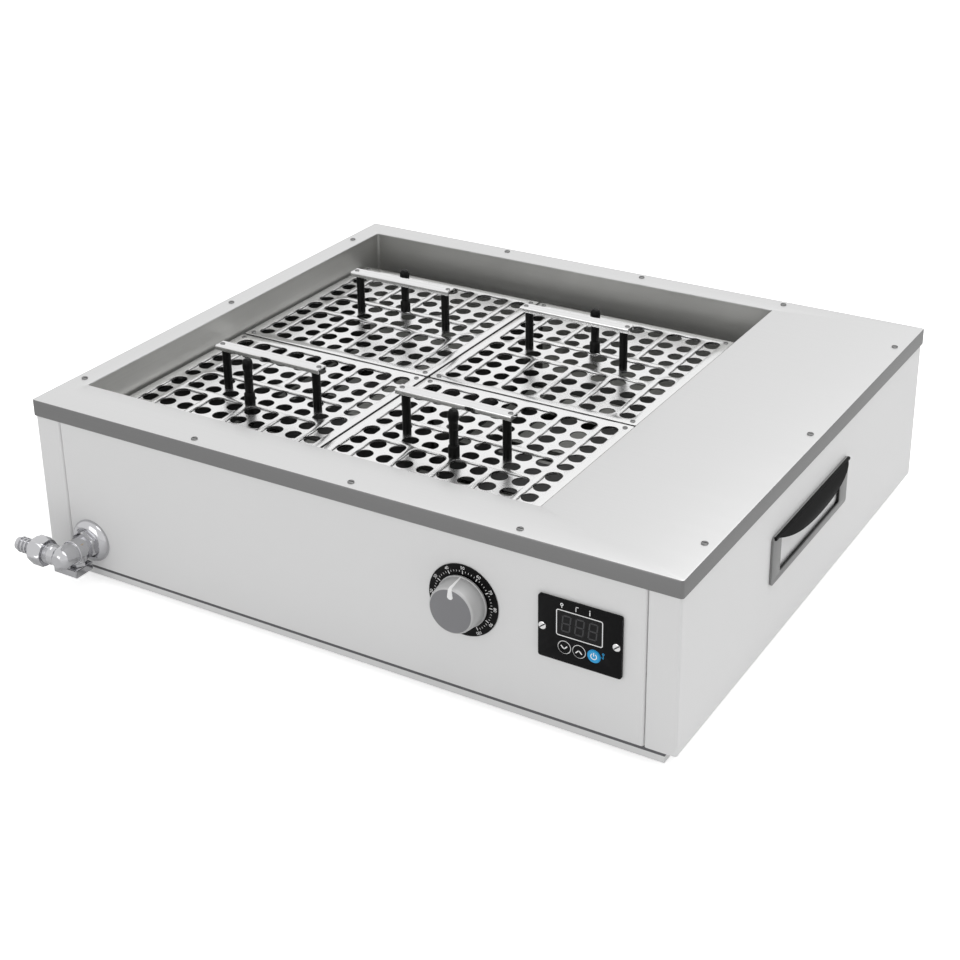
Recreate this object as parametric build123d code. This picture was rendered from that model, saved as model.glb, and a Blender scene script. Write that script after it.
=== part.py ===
from build123d import *
import os
from math import pi, sin, sqrt

# Serological water bath with four lift-out tube racks. Sizes are in millimetres.
# The origin is the middle of the overall footprint at bench level, +Z is up and -Y is the front.

# Outer casing
cover_sheet = 1.2
cover_skirt = 17.0
cover_corner = 3.0
cover_edge = 0.8
cover_fit = 0.4
casing_height = 170.0
panel_sheet = 1.2
panel_wrap = 30.0
panel_return = 7.0
panel_flange = 14.0
side_room = 1.5
back_room = 7.5
panel_seam = 0.6
bend_radius = 2.0
plinth_height = 12.0
plinth_side_inset = 12.0
plinth_front_inset = 3.0
tray_sheet = 1.2
tray_lap = 10.0
foot_height = 6.0
foot_radius = 11.0
foot_inset = 45.0

# Bath tank and what stands in it
well_spare = 30.0
tank_sheet = 1.2
tank_set_back = 1.0
tank_corner = 3.0
tank_rim = 4.0
shelf_rise = 32.0
shelf_sheet = 1.2
shelf_gap = 2.0
shelf_notch = 60.0
shelf_slot_length = 90.0
shelf_slot_width = 24.0
shelf_slot_columns = 4
shelf_slot_rows = 6
soft_gap = 0.3
bore_fit = 0.05
insulation_side = 18.0
insulation_floor = 25.6
insulation_cut = 1.0
heater_rod_radius = 4.0
heater_rise = 16.0
heater_half_span = 110.0
heater_end_gap = 116.0
heater_tail = 14.0
gland_flats = 17.0
gland_length = 6.0
gland_stand = 5.0
probe_radius = 3.0
probe_reach = 70.0
probe_inset = 93.0

# Tube racks
rack_size = 240.0
rack_gap = 3.0
rack_wall_gap = 3.0
rack_drop = 33.0
rack_sheet = 1.0
rack_skirt = 8.0
rack_fit = 0.3
rack_rim = 3.0
rack_stand_sheet = 1.2
rack_stand_flange = 9.0
rack_slot_inset = 35.0
rack_slot_width = 24.0
rack_slot_count = 5
rack_border = 18.075
holes_per_side = 10
hole_strip = 5.65
hole_sides = 6
post_radius = 4.4
post_height = 46.0
post_column_count = 5
bar_width = 14.0
bar_sheet = 1.5
bar_fold = 5.0
bar_overhang = 8.0
knob_post_height = 50.0
knob_post_radius = 4.6
knob_post_collar_radius = 5.6
knob_post_collar_height = 12.0

# Thermostat dial
dial_inset = 47.0
dial_rise = 14.0
dial_plate_radius = 35.0
dial_plate_thickness = 1.5
knob_skirt_radius = 25.0
knob_skirt = 2.0
knob_face_radius = 21.6
knob_height = 20.0
knob_gap = 0.8
pointer_width = 3.6
pointer_start = 8.0
pointer_end = 20.4
pointer_sunk = 0.6
pointer_stand = 0.3
shaft_radius = 3.0
shaft_grip = 12.0
shaft_sunk = 12.0
thermostat_size = 44.0
thermostat_depth = 24.0
thermostat_room = 3.5
thermostat_neck_radius = 5.0
thermostat_neck = 3.0
capillary_radius = 1.2
capillary_bend = 8.0
bulb_radius = 4.0
bulb_length = 80.0

# Temperature controller
controller_left_room = 11.1
controller_right_room = 56.4
controller_rise = 14.5
controller_width = 79.0
controller_tall = 60.0
fascia_thickness = 3.0
fascia_corner = 1.5
controller_case_width = 68.0
controller_case_tall = 48.0
controller_case_depth = 52.0
controller_case_wall = 2.0
display_width = 43.0
display_tall = 24.5
display_rise = 8.0
display_depth = 2.4
key_radius = 5.6
key_pitch = 14.0
key_drop = 15.0
key_stand = 0.6
key_fit = 0.08

# Drain valve
drain_inset = 34.5
drain_rise = 12.7
escutcheon_radius = 22.5
escutcheon_depth = 8.0
escutcheon_slope = 4.5
drain_pipe_radius = 10.0
drain_bore_radius = 5.5
drain_lock_flats = 24.0
drain_lock_length = 5.0
drain_nut_flats = 27.0
drain_nut_length = 6.0
pipe_stand = 7.0
valve_body_radius = 12.0
valve_bore_radius = 5.5
valve_ring_radius = 14.0
valve_ring_length = 2.5
valve_ring_offset = 30.0
valve_plug_offset = 22.0
valve_boss_radius = 9.5
plug_radius = 8.0
plug_half_height = 8.0
elbow_offset = 41.0
elbow_radius = 13.0
valve_tail_radius = 10.5
valve_tail_reach = 29.0
union_flats = 28.0
union_length = 21.0
union_thread = 9.0
barb_root_radius = 6.6
barb_rib_radius = 8.0
barb_rib_pitch = 5.0
barb_rib_count = 3
barb_rib_land = 1.0
barb_bore_radius = 4.5
barb_collar_radius = 8.0
barb_collar = 3.0
barb_stub = 3.0
stem_radius = 3.0
bonnet_flats = 15.0
bonnet_length = 4.0
bonnet_offset = 12.0
lever_offset = 16.5
lever_length = 30.0
lever_width = 23.0
lever_right = 8.0
lever_back = 11.0
lever_sheet = 1.6
lever_skirt = 7.0

# Side handles
handle_y = -14.0
handle_rise = 14.5
handle_length = 190.0
handle_tall = 50.0
handle_plate = 2.5
handle_corner = 4.0
handle_border = 19.5
handle_band = 7.0
pocket_margin = 1.5
pocket_depth = 15.0
pocket_sheet = 1.0
grip_drop = 31.0
grip_stand = 12.0
grip_sheet = 2.4

# Electrics
partition_gap = 1.0
partition_sheet = 1.2
partition_foot = 15.0
relay_length = 58.0
relay_width = 45.0
relay_height = 26.0
relay_y = 60.0
relay_rise = 62.0
inlet_offset = 22.0
inlet_height = 50.0
inlet_flange_width = 50.0
inlet_flange_tall = 31.0
inlet_flange_thickness = 2.5
inlet_body_width = 24.0
inlet_body_tall = 16.5
inlet_body_depth = 17.0
inlet_corner = 4.5
inlet_wall = 2.0
inlet_pin_width = 4.0
inlet_pin_thickness = 2.0
inlet_pin_pitch = 7.0
inlet_pin_rise = 1.5
inlet_pin_length = 15.0
louvre_count = 6
louvre_length = 70.0
louvre_pitch = 9.0
louvre_width = 3.0
louvre_offset = 12.0
louvre_rise = 36.0

# Racks, well and casing, from the inside outwards
hole_pitch = (rack_size - 2 * rack_border) / (holes_per_side - 1)
hole_diameter = hole_pitch - hole_strip
window_reach = hole_diameter / 2
rack_pitch = rack_size + rack_gap
well_width = 2 * rack_size + rack_gap + rack_wall_gap + well_spare
well_depth = well_width
front_room = thermostat_neck + thermostat_depth + thermostat_room
tank_margin = tank_set_back + tank_sheet + insulation_side
panel_margin = cover_sheet + cover_fit + panel_sheet
left_margin = panel_margin + side_room + tank_margin
front_margin = panel_margin + front_room + tank_margin
back_margin = panel_margin + back_room + tank_margin
compartment = controller_left_room + controller_case_width + controller_right_room
right_margin = tank_margin + partition_gap + partition_sheet + compartment + cover_fit + cover_sheet
cover_width = left_margin + well_width + right_margin
cover_depth = front_margin + well_depth + back_margin
side_face = cover_width / 2 - cover_sheet - cover_fit
front_face = cover_depth / 2 - cover_sheet - cover_fit
well_left = -cover_width / 2 + left_margin
well_right = well_left + well_width
well_back = cover_depth / 2 - back_margin
well_front = well_back - well_depth
well_x = (well_left + well_right) / 2
well_y = (well_front + well_back) / 2
tank_left = well_left - tank_set_back
tank_right = well_right + tank_set_back
tank_front = well_front - tank_set_back
tank_back = well_back + tank_set_back
rack_left_x = well_left + rack_wall_gap + rack_size / 2
rack_front_y = well_front + rack_wall_gap + rack_size / 2

# Levels, from the bench upwards
plinth_low = foot_height
panel_low = plinth_low + plinth_height
cover_top = panel_low + casing_height
cover_under = cover_top - cover_sheet
panel_middle = panel_low + (casing_height - cover_skirt) / 2
tray_floor = plinth_low + tray_sheet
tank_floor_level = tray_floor + insulation_floor + tank_sheet
drain_level = tank_floor_level + drain_rise
heater_level = tank_floor_level + heater_rise
shelf_level = tank_floor_level + shelf_rise
rack_level = cover_top - rack_drop
plate_low = rack_level - rack_sheet - rack_rim
dial_level = panel_middle + dial_rise
controller_level = panel_middle + controller_rise
handle_level = panel_middle + handle_rise
relay_level = panel_low + relay_rise
inlet_level = panel_low + inlet_height
louvre_level = panel_middle + louvre_rise - louvre_pitch * (louvre_count - 1) / 2

# Places of the fittings
partition_x = tank_right + tank_sheet + insulation_side + partition_gap
controller_x = partition_x + partition_sheet + controller_left_room + controller_case_width / 2
key_columns = (-key_pitch, 0.0, key_pitch)
dial_x = well_right - dial_inset
bulb_x = dial_x
inlet_x = controller_x + inlet_offset
louvre_x = controller_x + louvre_offset
heater_rows = (well_y - heater_half_span, well_y + heater_half_span)
heater_reach = well_width - heater_end_gap
heater_end = partition_x + partition_sheet + heater_tail
probe_y = well_back - probe_inset
drain_x = well_left + drain_inset
plug_y = -front_face - valve_plug_offset
elbow_y = -front_face - elbow_offset
elbow_length = elbow_offset + elbow_radius - valve_ring_offset
union_start = drain_x - valve_tail_reach + union_thread
handle_window_length = handle_length - 2 * handle_border
handle_window_tall = handle_tall - 2 * handle_band
handle_window_low = handle_level - handle_window_tall / 2
shelf_notches = [(x - shelf_notch / 2, x + shelf_notch / 2) for x in (drain_x, well_x, bulb_x)]
origin_shift = (elbow_offset + elbow_radius - inlet_flange_thickness) / 2

# First and last column and row of holes in each window of a rack frame
last_hole = holes_per_side - 1
half_count = holes_per_side // 2
rack_windows = [(side, side, low, low + half_count - 1) for side in (0, last_hole) for low in (0, half_count)]
for first_column in range(1, last_hole, 2):
    rack_windows.append((first_column, first_column + 1, 0, half_count - 2))
    rack_windows.append((first_column, first_column + 1, half_count + 1, last_hole))
rack_windows.append((1, last_hole - 1, half_count - 1, half_count))

# Name of each rack, its column and row in the well, the place of its first pillar among the hole columns,
# and the side of its knob pillar
rack_places = [
    ("rack_front_left", 0, 0, 2.5, -1),
    ("rack_front_right", 1, 0, 1.5, -1),
    ("rack_back_left", 0, 1, 2.5, 1),
    ("rack_back_right", 1, 1, 1.5, 1),
]


def block(low, high):
    """A rectangular solid between two opposite corners."""
    size = [b - a for a, b in zip(low, high)]
    middle = [(a + b) / 2 for a, b in zip(low, high)]
    return Pos(*middle) * Box(*size)


def bent_sheet(points, thickness, length):
    """A folded sheet: an open outline given by its middle line, drawn on XY and raised along Z."""
    line = FilletPolyline(*points, radius=bend_radius)
    return extrude(trace(line, thickness), length)


def along_front(shape, x, level, stand=0.0):
    """Turns a shape drawn on XY and raised along Z so that it stands out of the front panel."""
    return Pos(x, -front_face - stand, level) * Rot(90, 0, 0) * shape


def hexagon_bar(flats, length):
    """A six-sided bar along Z with the given size across its flats."""
    return extrude(RegularPolygon(flats / sqrt(3), 6), length)


def rod(radius, length):
    """A round bar that stands on the XY plane."""
    return Cylinder(radius, length, align=(Align.CENTER, Align.CENTER, Align.MIN))


def turned(*points):
    """A solid of revolution about Z, from an outline of radius and height pairs."""
    return revolve(Plane.XZ * make_face(Polyline(*points, close=True)), Axis.Z)


def top_cover():
    """The pressed cover: a turned-down skirt, eased edges and the square opening of the well."""
    low = cover_top - cover_skirt
    outer = extrude(RectangleRounded(cover_width, cover_depth, cover_corner), cover_skirt)
    outer = chamfer(outer.edges().group_by(Axis.Z)[-1], cover_edge)
    inside_width = cover_width - 2 * cover_sheet
    inside_depth = cover_depth - 2 * cover_sheet
    inside = block((-inside_width / 2, -inside_depth / 2, low), (inside_width / 2, inside_depth / 2, cover_under))
    opening = block((well_left, well_front, low), (well_right, well_back, cover_top))
    return Pos(0, 0, low) * outer - inside - opening


def front_sheet():
    """A flat panel between the side wraps, with returns at its ends and flanges above and below."""
    half = side_face - panel_wrap - panel_seam - panel_sheet / 2
    line = front_face - panel_sheet / 2
    points = [(-half, panel_return - line), (-half, -line), (half, -line), (half, panel_return - line)]
    sheet = Pos(0, 0, panel_low) * bent_sheet(points, panel_sheet, cover_under - panel_low)
    inner = panel_sheet - front_face
    over = half - bend_radius
    sheet += block((-over, inner, cover_under - panel_sheet), (over, inner + panel_flange, cover_under))
    tray_face = plinth_front_inset - front_face
    above_tray = panel_low + tray_lap + soft_gap
    sheet -= block((-half - panel_sheet, tray_face, panel_low), (half + panel_sheet, 0, above_tray))
    return sheet + block((-over, inner, panel_low), (over, tray_face, panel_low + panel_sheet))


def front_panel():
    """The front panel, cut for the drain pipe, the thermostat neck and the controller case."""
    pipe = Pos(drain_x, 0, drain_level) * Rot(90, 0, 0) * rod(drain_pipe_radius + soft_gap, cover_depth)
    neck = Pos(dial_x, 0, dial_level) * Rot(90, 0, 0) * rod(thermostat_neck_radius + soft_gap, cover_depth)
    half_width = controller_case_width / 2 + soft_gap
    half_tall = controller_case_tall / 2 + soft_gap
    case = block(
        (controller_x - half_width, -cover_depth / 2, controller_level - half_tall),
        (controller_x + half_width, 0, controller_level + half_tall),
    )
    return front_sheet() - pipe - neck - case


def back_panel():
    """The back panel, cut for the mains inlet and a row of cooling louvres."""
    sheet = Rot(0, 0, 180) * front_sheet()
    half_width = inlet_body_width / 2 + inlet_wall + soft_gap
    half_tall = inlet_body_tall / 2 + inlet_wall + soft_gap
    sheet -= block(
        (inlet_x - half_width, 0, inlet_level - half_tall),
        (inlet_x + half_width, cover_depth / 2, inlet_level + half_tall),
    )
    for row in range(louvre_count):
        level = louvre_level + row * louvre_pitch
        sheet -= block(
            (louvre_x - louvre_length / 2, 0, level - louvre_width / 2),
            (louvre_x + louvre_length / 2, cover_depth / 2, level + louvre_width / 2),
        )
    return sheet


def side_panel():
    """The right side panel: wraps round both corners, flanges, and a welded pocket behind the handle."""
    line_x = side_face - panel_sheet / 2
    line_y = front_face - panel_sheet / 2
    end = side_face - panel_wrap + panel_sheet / 2
    points = [(end, panel_return - line_y), (end, -line_y), (line_x, -line_y)]
    points += [(x, -y) for x, y in reversed(points)]
    sheet = Pos(0, 0, panel_low) * bent_sheet(points, panel_sheet, cover_under - panel_low)
    inner_x = side_face - panel_sheet
    inner_y = line_y - panel_return
    sheet += block((side_face - panel_flange, -inner_y, cover_under - panel_sheet), (inner_x, inner_y, cover_under))
    tray_x = side_face - plinth_side_inset
    tray_y = front_face - plinth_front_inset
    sheet -= block((0, -tray_y, panel_low), (tray_x, tray_y, panel_low + tray_lap + soft_gap))
    sheet += block((tray_x, -inner_y, panel_low), (inner_x, inner_y, panel_low + panel_sheet))
    half = handle_window_length / 2 + pocket_margin
    low = handle_window_low - pocket_margin
    high = handle_window_low + handle_window_tall + pocket_margin
    deep = side_face - pocket_depth
    wall = pocket_sheet
    sheet += block((deep - wall, handle_y - half - wall, low - wall), (inner_x, handle_y + half + wall, high + wall))
    return sheet - block((deep, handle_y - half, low), (side_face, handle_y + half, high))


def base_tray():
    """The plinth tray that closes the casing below."""
    half_x = side_face - plinth_side_inset
    half_y = front_face - plinth_front_inset
    outer = block((-half_x, -half_y, plinth_low), (half_x, half_y, panel_low + tray_lap))
    inner_x = half_x - tray_sheet
    inner_y = half_y - tray_sheet
    return outer - block((-inner_x, -inner_y, tray_floor), (inner_x, inner_y, panel_low + tray_lap))


def rubber_feet():
    """Four round feet under the plinth."""
    foot = rod(foot_radius, foot_height)
    places = GridLocations(cover_width - 2 * foot_inset, cover_depth - 2 * foot_inset, 2, 2)
    return [place * foot for place in places]


def tank_box(grow, low, high):
    """The space inside the tank walls, grown outwards, between two levels."""
    width = tank_right - tank_left + 2 * grow
    depth = tank_back - tank_front + 2 * grow
    shape = extrude(RectangleRounded(width, depth, tank_corner + grow), high - low)
    return Pos(well_x, well_y, low) * shape


def bath_tank():
    """The welded tank with rounded corners and a rim that hangs from the cover, holed for its fittings."""
    tank = tank_box(tank_sheet, tank_floor_level - tank_sheet, cover_under)
    tank += tank_box(tank_sheet + tank_rim, cover_under - tank_sheet, cover_under)
    tank -= tank_box(0, tank_floor_level, cover_under)
    tank -= Pos(drain_x, well_front + well_depth / 2, drain_level) * Rot(90, 0, 0) * rod(drain_pipe_radius, well_depth)
    tank -= Pos(bulb_x, well_y, heater_level) * Rot(90, 0, 0) * rod(bulb_radius, well_depth)
    for y in heater_rows:
        tank -= Pos(well_x, y, heater_level) * Rot(0, 90, 0) * rod(heater_rod_radius, well_width)
    return tank - Pos(well_x, probe_y, heater_level) * Rot(0, 90, 0) * rod(probe_radius, well_width)


def insulation_jacket():
    """Foam under and around the tank, notched for the pipe, the capillary, the heaters and the pockets."""
    thick = tank_sheet + insulation_side
    left, right = tank_left - thick, tank_right + thick
    front, back = tank_front - thick, tank_back + thick
    tray_side = side_face - plinth_side_inset - tray_sheet - soft_gap
    foam = block((left, front, panel_low + tray_lap + soft_gap), (right, back, cover_under - 2 * panel_sheet))
    foam += block((-tray_side, front, tray_floor), (right, back, tank_floor_level))
    foam -= tank_box(tank_sheet + soft_gap, tank_floor_level - tank_sheet, cover_top)
    reach = side_face - pocket_depth - pocket_sheet - soft_gap
    half = handle_window_length / 2 + pocket_margin + pocket_sheet + soft_gap
    low = handle_window_low - pocket_margin - pocket_sheet - soft_gap
    foam -= block((-side_face, handle_y - half, low), (-reach, handle_y + half, cover_top))
    pipe_room = drain_lock_flats / sqrt(3) + insulation_cut
    bulb_room = bulb_radius + insulation_cut
    for x, level, room in ((drain_x, drain_level, pipe_room), (bulb_x, heater_level, bulb_room)):
        foam -= block((x - room, front, level - room), (x + room, well_y, level + room))
    room = gland_flats / sqrt(3) + insulation_cut
    for y in (*heater_rows, probe_y):
        foam -= block((well_x, y - room, heater_level - room), (right, y + room, heater_level + room))
    return foam


def heater_rods():
    """Two straight immersion heaters with hexagonal glands on the tank wall and terminal ends beyond it."""
    shapes = []
    for y in heater_rows:
        start = Pos(heater_end, y, heater_level) * Rot(0, -90, 0)
        sheath = start * rod(heater_rod_radius, heater_end - tank_right + heater_reach)
        for x, length in ((tank_right - gland_length, gland_length), (tank_right + tank_sheet, gland_stand)):
            sheath += Pos(x, y, heater_level) * Rot(0, 90, 0) * hexagon_bar(gland_flats, length)
        shapes.append(sheath)
    return shapes


def heater_guard():
    """The slotted shelf over the heaters: legs at the front and back, notched for the fittings."""
    half_x = well_width / 2 - shelf_gap
    half_y = well_depth / 2 - shelf_gap
    top = shelf_level - shelf_sheet / 2
    side = half_y - shelf_sheet / 2
    points = [(-side, tank_floor_level), (-side, top), (side, top), (side, tank_floor_level)]
    guard = Pos(well_x - half_x, well_y, 0) * (Plane.YZ * bent_sheet(points, shelf_sheet, 2 * half_x))
    clear = shelf_level - shelf_sheet - bend_radius
    for low, high in shelf_notches:
        guard -= block((low, well_front, tank_floor_level), (high, well_back, clear))
    slot = Pos(0, 0, shelf_level) * Box(shelf_slot_length, shelf_slot_width, 2 * shelf_sheet + bend_radius)
    column_pitch = well_width / shelf_slot_columns
    row_pitch = well_depth / shelf_slot_rows
    for place in GridLocations(column_pitch, row_pitch, shelf_slot_columns, shelf_slot_rows):
        guard -= Pos(well_x, well_y, 0) * place * slot
    return guard


def temperature_probe():
    """The sensing rod of the controller, through the right wall of the tank."""
    length = heater_end - tank_right + probe_reach
    return Pos(heater_end, probe_y, heater_level) * Rot(0, -90, 0) * rod(probe_radius, length)


def thermostat_body():
    """The limit thermostat behind the dial, with its threaded neck through the panel and the dial plate."""
    inner = panel_sheet - front_face
    half = thermostat_size / 2
    box = block(
        (dial_x - half, inner + thermostat_neck, dial_level - half),
        (dial_x + half, inner + thermostat_neck + thermostat_depth, dial_level + half),
    )
    base = Pos(dial_x, inner + thermostat_neck, dial_level) * Rot(90, 0, 0)
    neck = thermostat_neck + panel_sheet + dial_plate_thickness
    box += base * rod(thermostat_neck_radius, neck)
    return box - base * Pos(0, 0, -shaft_sunk) * rod(shaft_radius + bore_fit, shaft_sunk + neck)


def thermostat_bulb():
    """The fluid bulb low in the tank, and the capillary that leads up to the thermostat."""
    y = panel_sheet - front_face + thermostat_neck + thermostat_depth / 2
    start = (bulb_x, y, dial_level - thermostat_size / 2)
    path = FilletPolyline(start, (bulb_x, y, heater_level), (bulb_x, tank_front, heater_level), radius=capillary_bend)
    tube = sweep(Plane(origin=path @ 0, z_dir=path % 0) * RegularPolygon(capillary_radius, 6), path=path)
    bulb = Pos(bulb_x, tank_front - tank_sheet, heater_level) * Rot(-90, 0, 0) * rod(bulb_radius, bulb_length)
    return tube + bulb


def dial_plate():
    """The round scale plate on the front panel."""
    plate = rod(dial_plate_radius, dial_plate_thickness)
    plate -= rod(thermostat_neck_radius, dial_plate_thickness)
    return along_front(plate, dial_x, dial_level)


def pointer_bar():
    """The pointer as it lies across the face of the knob, on XY."""
    half = pointer_width / 2
    return block((-half, pointer_start, knob_height - pointer_sunk), (half, pointer_end, knob_height + pointer_stand))


def dial_knob():
    """The knob: a short skirt, a conical side, a flat face, and sockets for the shaft and the pointer."""
    bore = shaft_radius + bore_fit
    knob = turned(
        (bore, 0),
        (knob_skirt_radius, 0),
        (knob_skirt_radius, knob_skirt),
        (knob_face_radius, knob_height),
        (0, knob_height),
        (0, shaft_grip),
        (bore, shaft_grip),
    )
    return along_front(knob - pointer_bar(), dial_x, dial_level, dial_plate_thickness + knob_gap)


def knob_pointer():
    """The white pointer let into the knob face."""
    return along_front(pointer_bar(), dial_x, dial_level, dial_plate_thickness + knob_gap)


def thermostat_shaft():
    """The shaft from inside the thermostat to the bottom of the knob socket."""
    back = panel_sheet + thermostat_neck + shaft_sunk - bore_fit
    length = back + dial_plate_thickness + knob_gap + shaft_grip
    return Pos(dial_x, back - front_face, dial_level) * Rot(90, 0, 0) * rod(shaft_radius, length)


def controller_fascia():
    """The face plate of the controller, cut for the display and the three keys."""
    plate = extrude(RectangleRounded(controller_width, controller_tall, fascia_corner), fascia_thickness)
    plate -= Pos(0, display_rise, fascia_thickness / 2) * Box(display_width, display_tall, fascia_thickness)
    for x in key_columns:
        plate -= Pos(x, -key_drop, 0) * rod(key_radius + key_fit, fascia_thickness)
    return along_front(plate, controller_x, controller_level)


def display_window():
    """The display pane, just behind the face of the fascia."""
    pane = Pos(0, display_rise, display_depth / 2) * Box(display_width, display_tall, display_depth)
    return along_front(pane, controller_x, controller_level)


def controller_case():
    """The open-fronted case of the controller behind the panel."""
    width, tall, depth = controller_case_width, controller_case_tall, controller_case_depth
    case = Pos(0, 0, -depth / 2) * Box(width, tall, depth)
    wall = controller_case_wall
    hollow = depth - wall
    case -= Pos(0, 0, -hollow / 2) * Box(width - 2 * wall, tall - 2 * wall, hollow)
    return along_front(case, controller_x, controller_level)


def key(column):
    """One round key of the controller."""
    cap = rod(key_radius, fascia_thickness + key_stand)
    return along_front(cap, controller_x + key_columns[column], controller_level - key_drop)


def partition_plate():
    """The folded plate that keeps the electrics apart from the tank, cut for the heaters and the probe."""
    half = front_face - panel_sheet - partition_gap
    tray_half = front_face - plinth_front_inset - tray_sheet
    face = partition_x + partition_sheet
    plate = block((partition_x, -half, panel_low + tray_lap), (face, half, cover_under - panel_sheet - partition_gap))
    plate += block((partition_x, -tray_half, tray_floor), (face, tray_half, panel_low + tray_lap))
    foot = partition_x + partition_foot
    plate += block((partition_x, -tray_half, tray_floor), (foot, tray_half, tray_floor + partition_sheet))
    for y in (*heater_rows, probe_y):
        room = heater_rod_radius + soft_gap
        plate -= block((partition_x, y - room, heater_level - room), (face, y + room, heater_level + room))
    return plate


def power_relay():
    """The relay that switches the heaters, on the partition."""
    low_x = partition_x + partition_sheet
    return block(
        (low_x, relay_y - relay_length / 2, relay_level),
        (low_x + relay_height, relay_y + relay_length / 2, relay_level + relay_width),
    )


def mains_inlet():
    """The standard mains inlet in the back panel, with a recess and three flat pins."""
    flange = Box(inlet_flange_width, inlet_flange_tall, inlet_flange_thickness)
    flange = Pos(0, 0, inlet_flange_thickness / 2) * flange
    deep = inlet_body_depth + inlet_wall
    body = Box(inlet_body_width + 2 * inlet_wall, inlet_body_tall + 2 * inlet_wall, deep)
    shape = flange + Pos(0, 0, -deep / 2) * body
    hollow = inlet_body_depth + inlet_flange_thickness
    recess = extrude(Rectangle(inlet_body_width, inlet_body_tall), hollow)
    shape -= Pos(0, 0, -inlet_body_depth) * chamfer(recess.edges().filter_by(Axis.Z).group_by(Axis.Y)[-1], inlet_corner)
    for column, rise in ((-1, -inlet_pin_rise), (0, inlet_pin_rise), (1, -inlet_pin_rise)):
        pin = Box(inlet_pin_thickness, inlet_pin_width, inlet_pin_length)
        shape += Pos(column * inlet_pin_pitch, rise, inlet_pin_length / 2 - inlet_body_depth) * pin
    return Pos(inlet_x, front_face, inlet_level) * Rot(-90, 0, 0) * Rot(0, 0, 180) * shape


def drain_escutcheon():
    """The tapered cover ring where the drain leaves the front panel."""
    hole = valve_body_radius + soft_gap
    top = escutcheon_radius - escutcheon_slope
    ring = turned((hole, 0), (escutcheon_radius, 0), (top, escutcheon_depth), (hole, escutcheon_depth))
    return along_front(ring, drain_x, drain_level)


def drain_bulkhead():
    """The pipe from the tank to the valve, with a hexagonal lock nut outside the tank wall."""
    length = tank_front + front_face + pipe_stand
    pipe = rod(drain_pipe_radius, length)
    pipe += Pos(0, 0, tank_sheet) * hexagon_bar(drain_lock_flats, drain_lock_length)
    return Pos(drain_x, tank_front, drain_level) * Rot(90, 0, 0) * (pipe - rod(drain_bore_radius, length))


def drain_valve_body():
    """The valve body: neck, hexagonal collar, ring, elbow chamber, and a tail to the left."""
    start = pipe_stand + soft_gap
    body = Pos(0, 0, start) * rod(valve_body_radius, elbow_offset - start)
    body += Pos(0, 0, escutcheon_depth) * hexagon_bar(drain_nut_flats, drain_nut_length)
    body += Pos(0, 0, valve_ring_offset) * rod(valve_ring_radius, valve_ring_length)
    body += Pos(0, 0, valve_ring_offset) * rod(elbow_radius, elbow_length)
    turn = Pos(0, 0, elbow_offset) * Rot(0, -90, 0)
    body += turn * rod(valve_tail_radius, valve_tail_reach)
    seat = Pos(0, 0, valve_plug_offset) * Rot(90, 0, 0)
    body += seat * rod(valve_boss_radius, bonnet_offset)
    body -= Pos(0, 0, start) * rod(valve_bore_radius, elbow_offset - start)
    body -= turn * Pos(0, 0, -valve_bore_radius) * rod(valve_bore_radius, valve_tail_reach + valve_bore_radius)
    body -= seat * Pos(0, 0, -plug_half_height) * rod(plug_radius + bore_fit, plug_half_height + bonnet_offset)
    return along_front(body, drain_x, drain_level)


def drain_plug():
    """The cylindrical plug, closed as drawn, with its cross bore, and the stem down to the lever."""
    plug = Pos(0, 0, -plug_half_height) * rod(plug_radius, 2 * plug_half_height)
    plug -= Pos(-plug_radius, 0, 0) * Rot(0, 90, 0) * rod(valve_bore_radius, 2 * plug_radius)
    stem = Pos(0, 0, -lever_offset - lever_sheet) * rod(stem_radius, lever_offset + lever_sheet - plug_half_height)
    return Pos(drain_x, plug_y, drain_level) * (plug + stem)


def drain_bonnet():
    """The gland nut under the plug."""
    nut = hexagon_bar(bonnet_flats, bonnet_length) - rod(stem_radius + bore_fit, bonnet_length)
    plug = rod(plug_radius, bonnet_offset - plug_half_height - bore_fit)
    nut += Pos(0, 0, bonnet_length) * (plug - rod(stem_radius + bore_fit, bonnet_offset))
    return Pos(drain_x, plug_y, drain_level - bonnet_offset - bonnet_length) * nut


def drain_lever():
    """The folded lever under the valve: a plate with skirts on its front and right edges."""
    high = -lever_offset
    low = high - lever_sheet
    left = lever_right - lever_length
    front = lever_back - lever_width
    lever = block((left, front, low), (lever_right, lever_back, high))
    lever += block((left, front, low - lever_skirt), (lever_right, front + lever_sheet, high))
    lever += block((lever_right - lever_sheet, front, low - lever_skirt), (lever_right, lever_back, high))
    lever -= Pos(0, 0, low) * rod(stem_radius, lever_sheet)
    return Pos(drain_x, plug_y, drain_level) * lever


def drain_union_nut():
    """The hexagonal union nut on the tail of the valve."""
    nut = Rot(0, 0, 30) * hexagon_bar(union_flats, union_length)
    nut -= rod(barb_root_radius + soft_gap, union_length)
    nut -= rod(valve_tail_radius + soft_gap, union_thread + barb_collar)
    return Pos(union_start, elbow_y, drain_level) * Rot(0, -90, 0) * nut


def drain_hose_barb():
    """The hose end: a collar inside the union nut, a stem through it, and ribs that grip the hose."""
    points = [(barb_bore_radius, union_thread), (barb_collar_radius, union_thread)]
    height = union_thread + barb_collar
    points += [(barb_collar_radius, height), (barb_root_radius, height)]
    height = union_length + barb_stub
    points.append((barb_root_radius, height))
    for _ in range(barb_rib_count):
        points.append((barb_rib_radius, height))
        points.append((barb_rib_radius, height + barb_rib_land))
        points.append((barb_root_radius, height + barb_rib_land))
        height += barb_rib_pitch
        points.append((barb_root_radius, height))
    points.append((barb_bore_radius, height))
    return Pos(union_start, elbow_y, drain_level) * Rot(0, -90, 0) * turned(*points)


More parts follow.
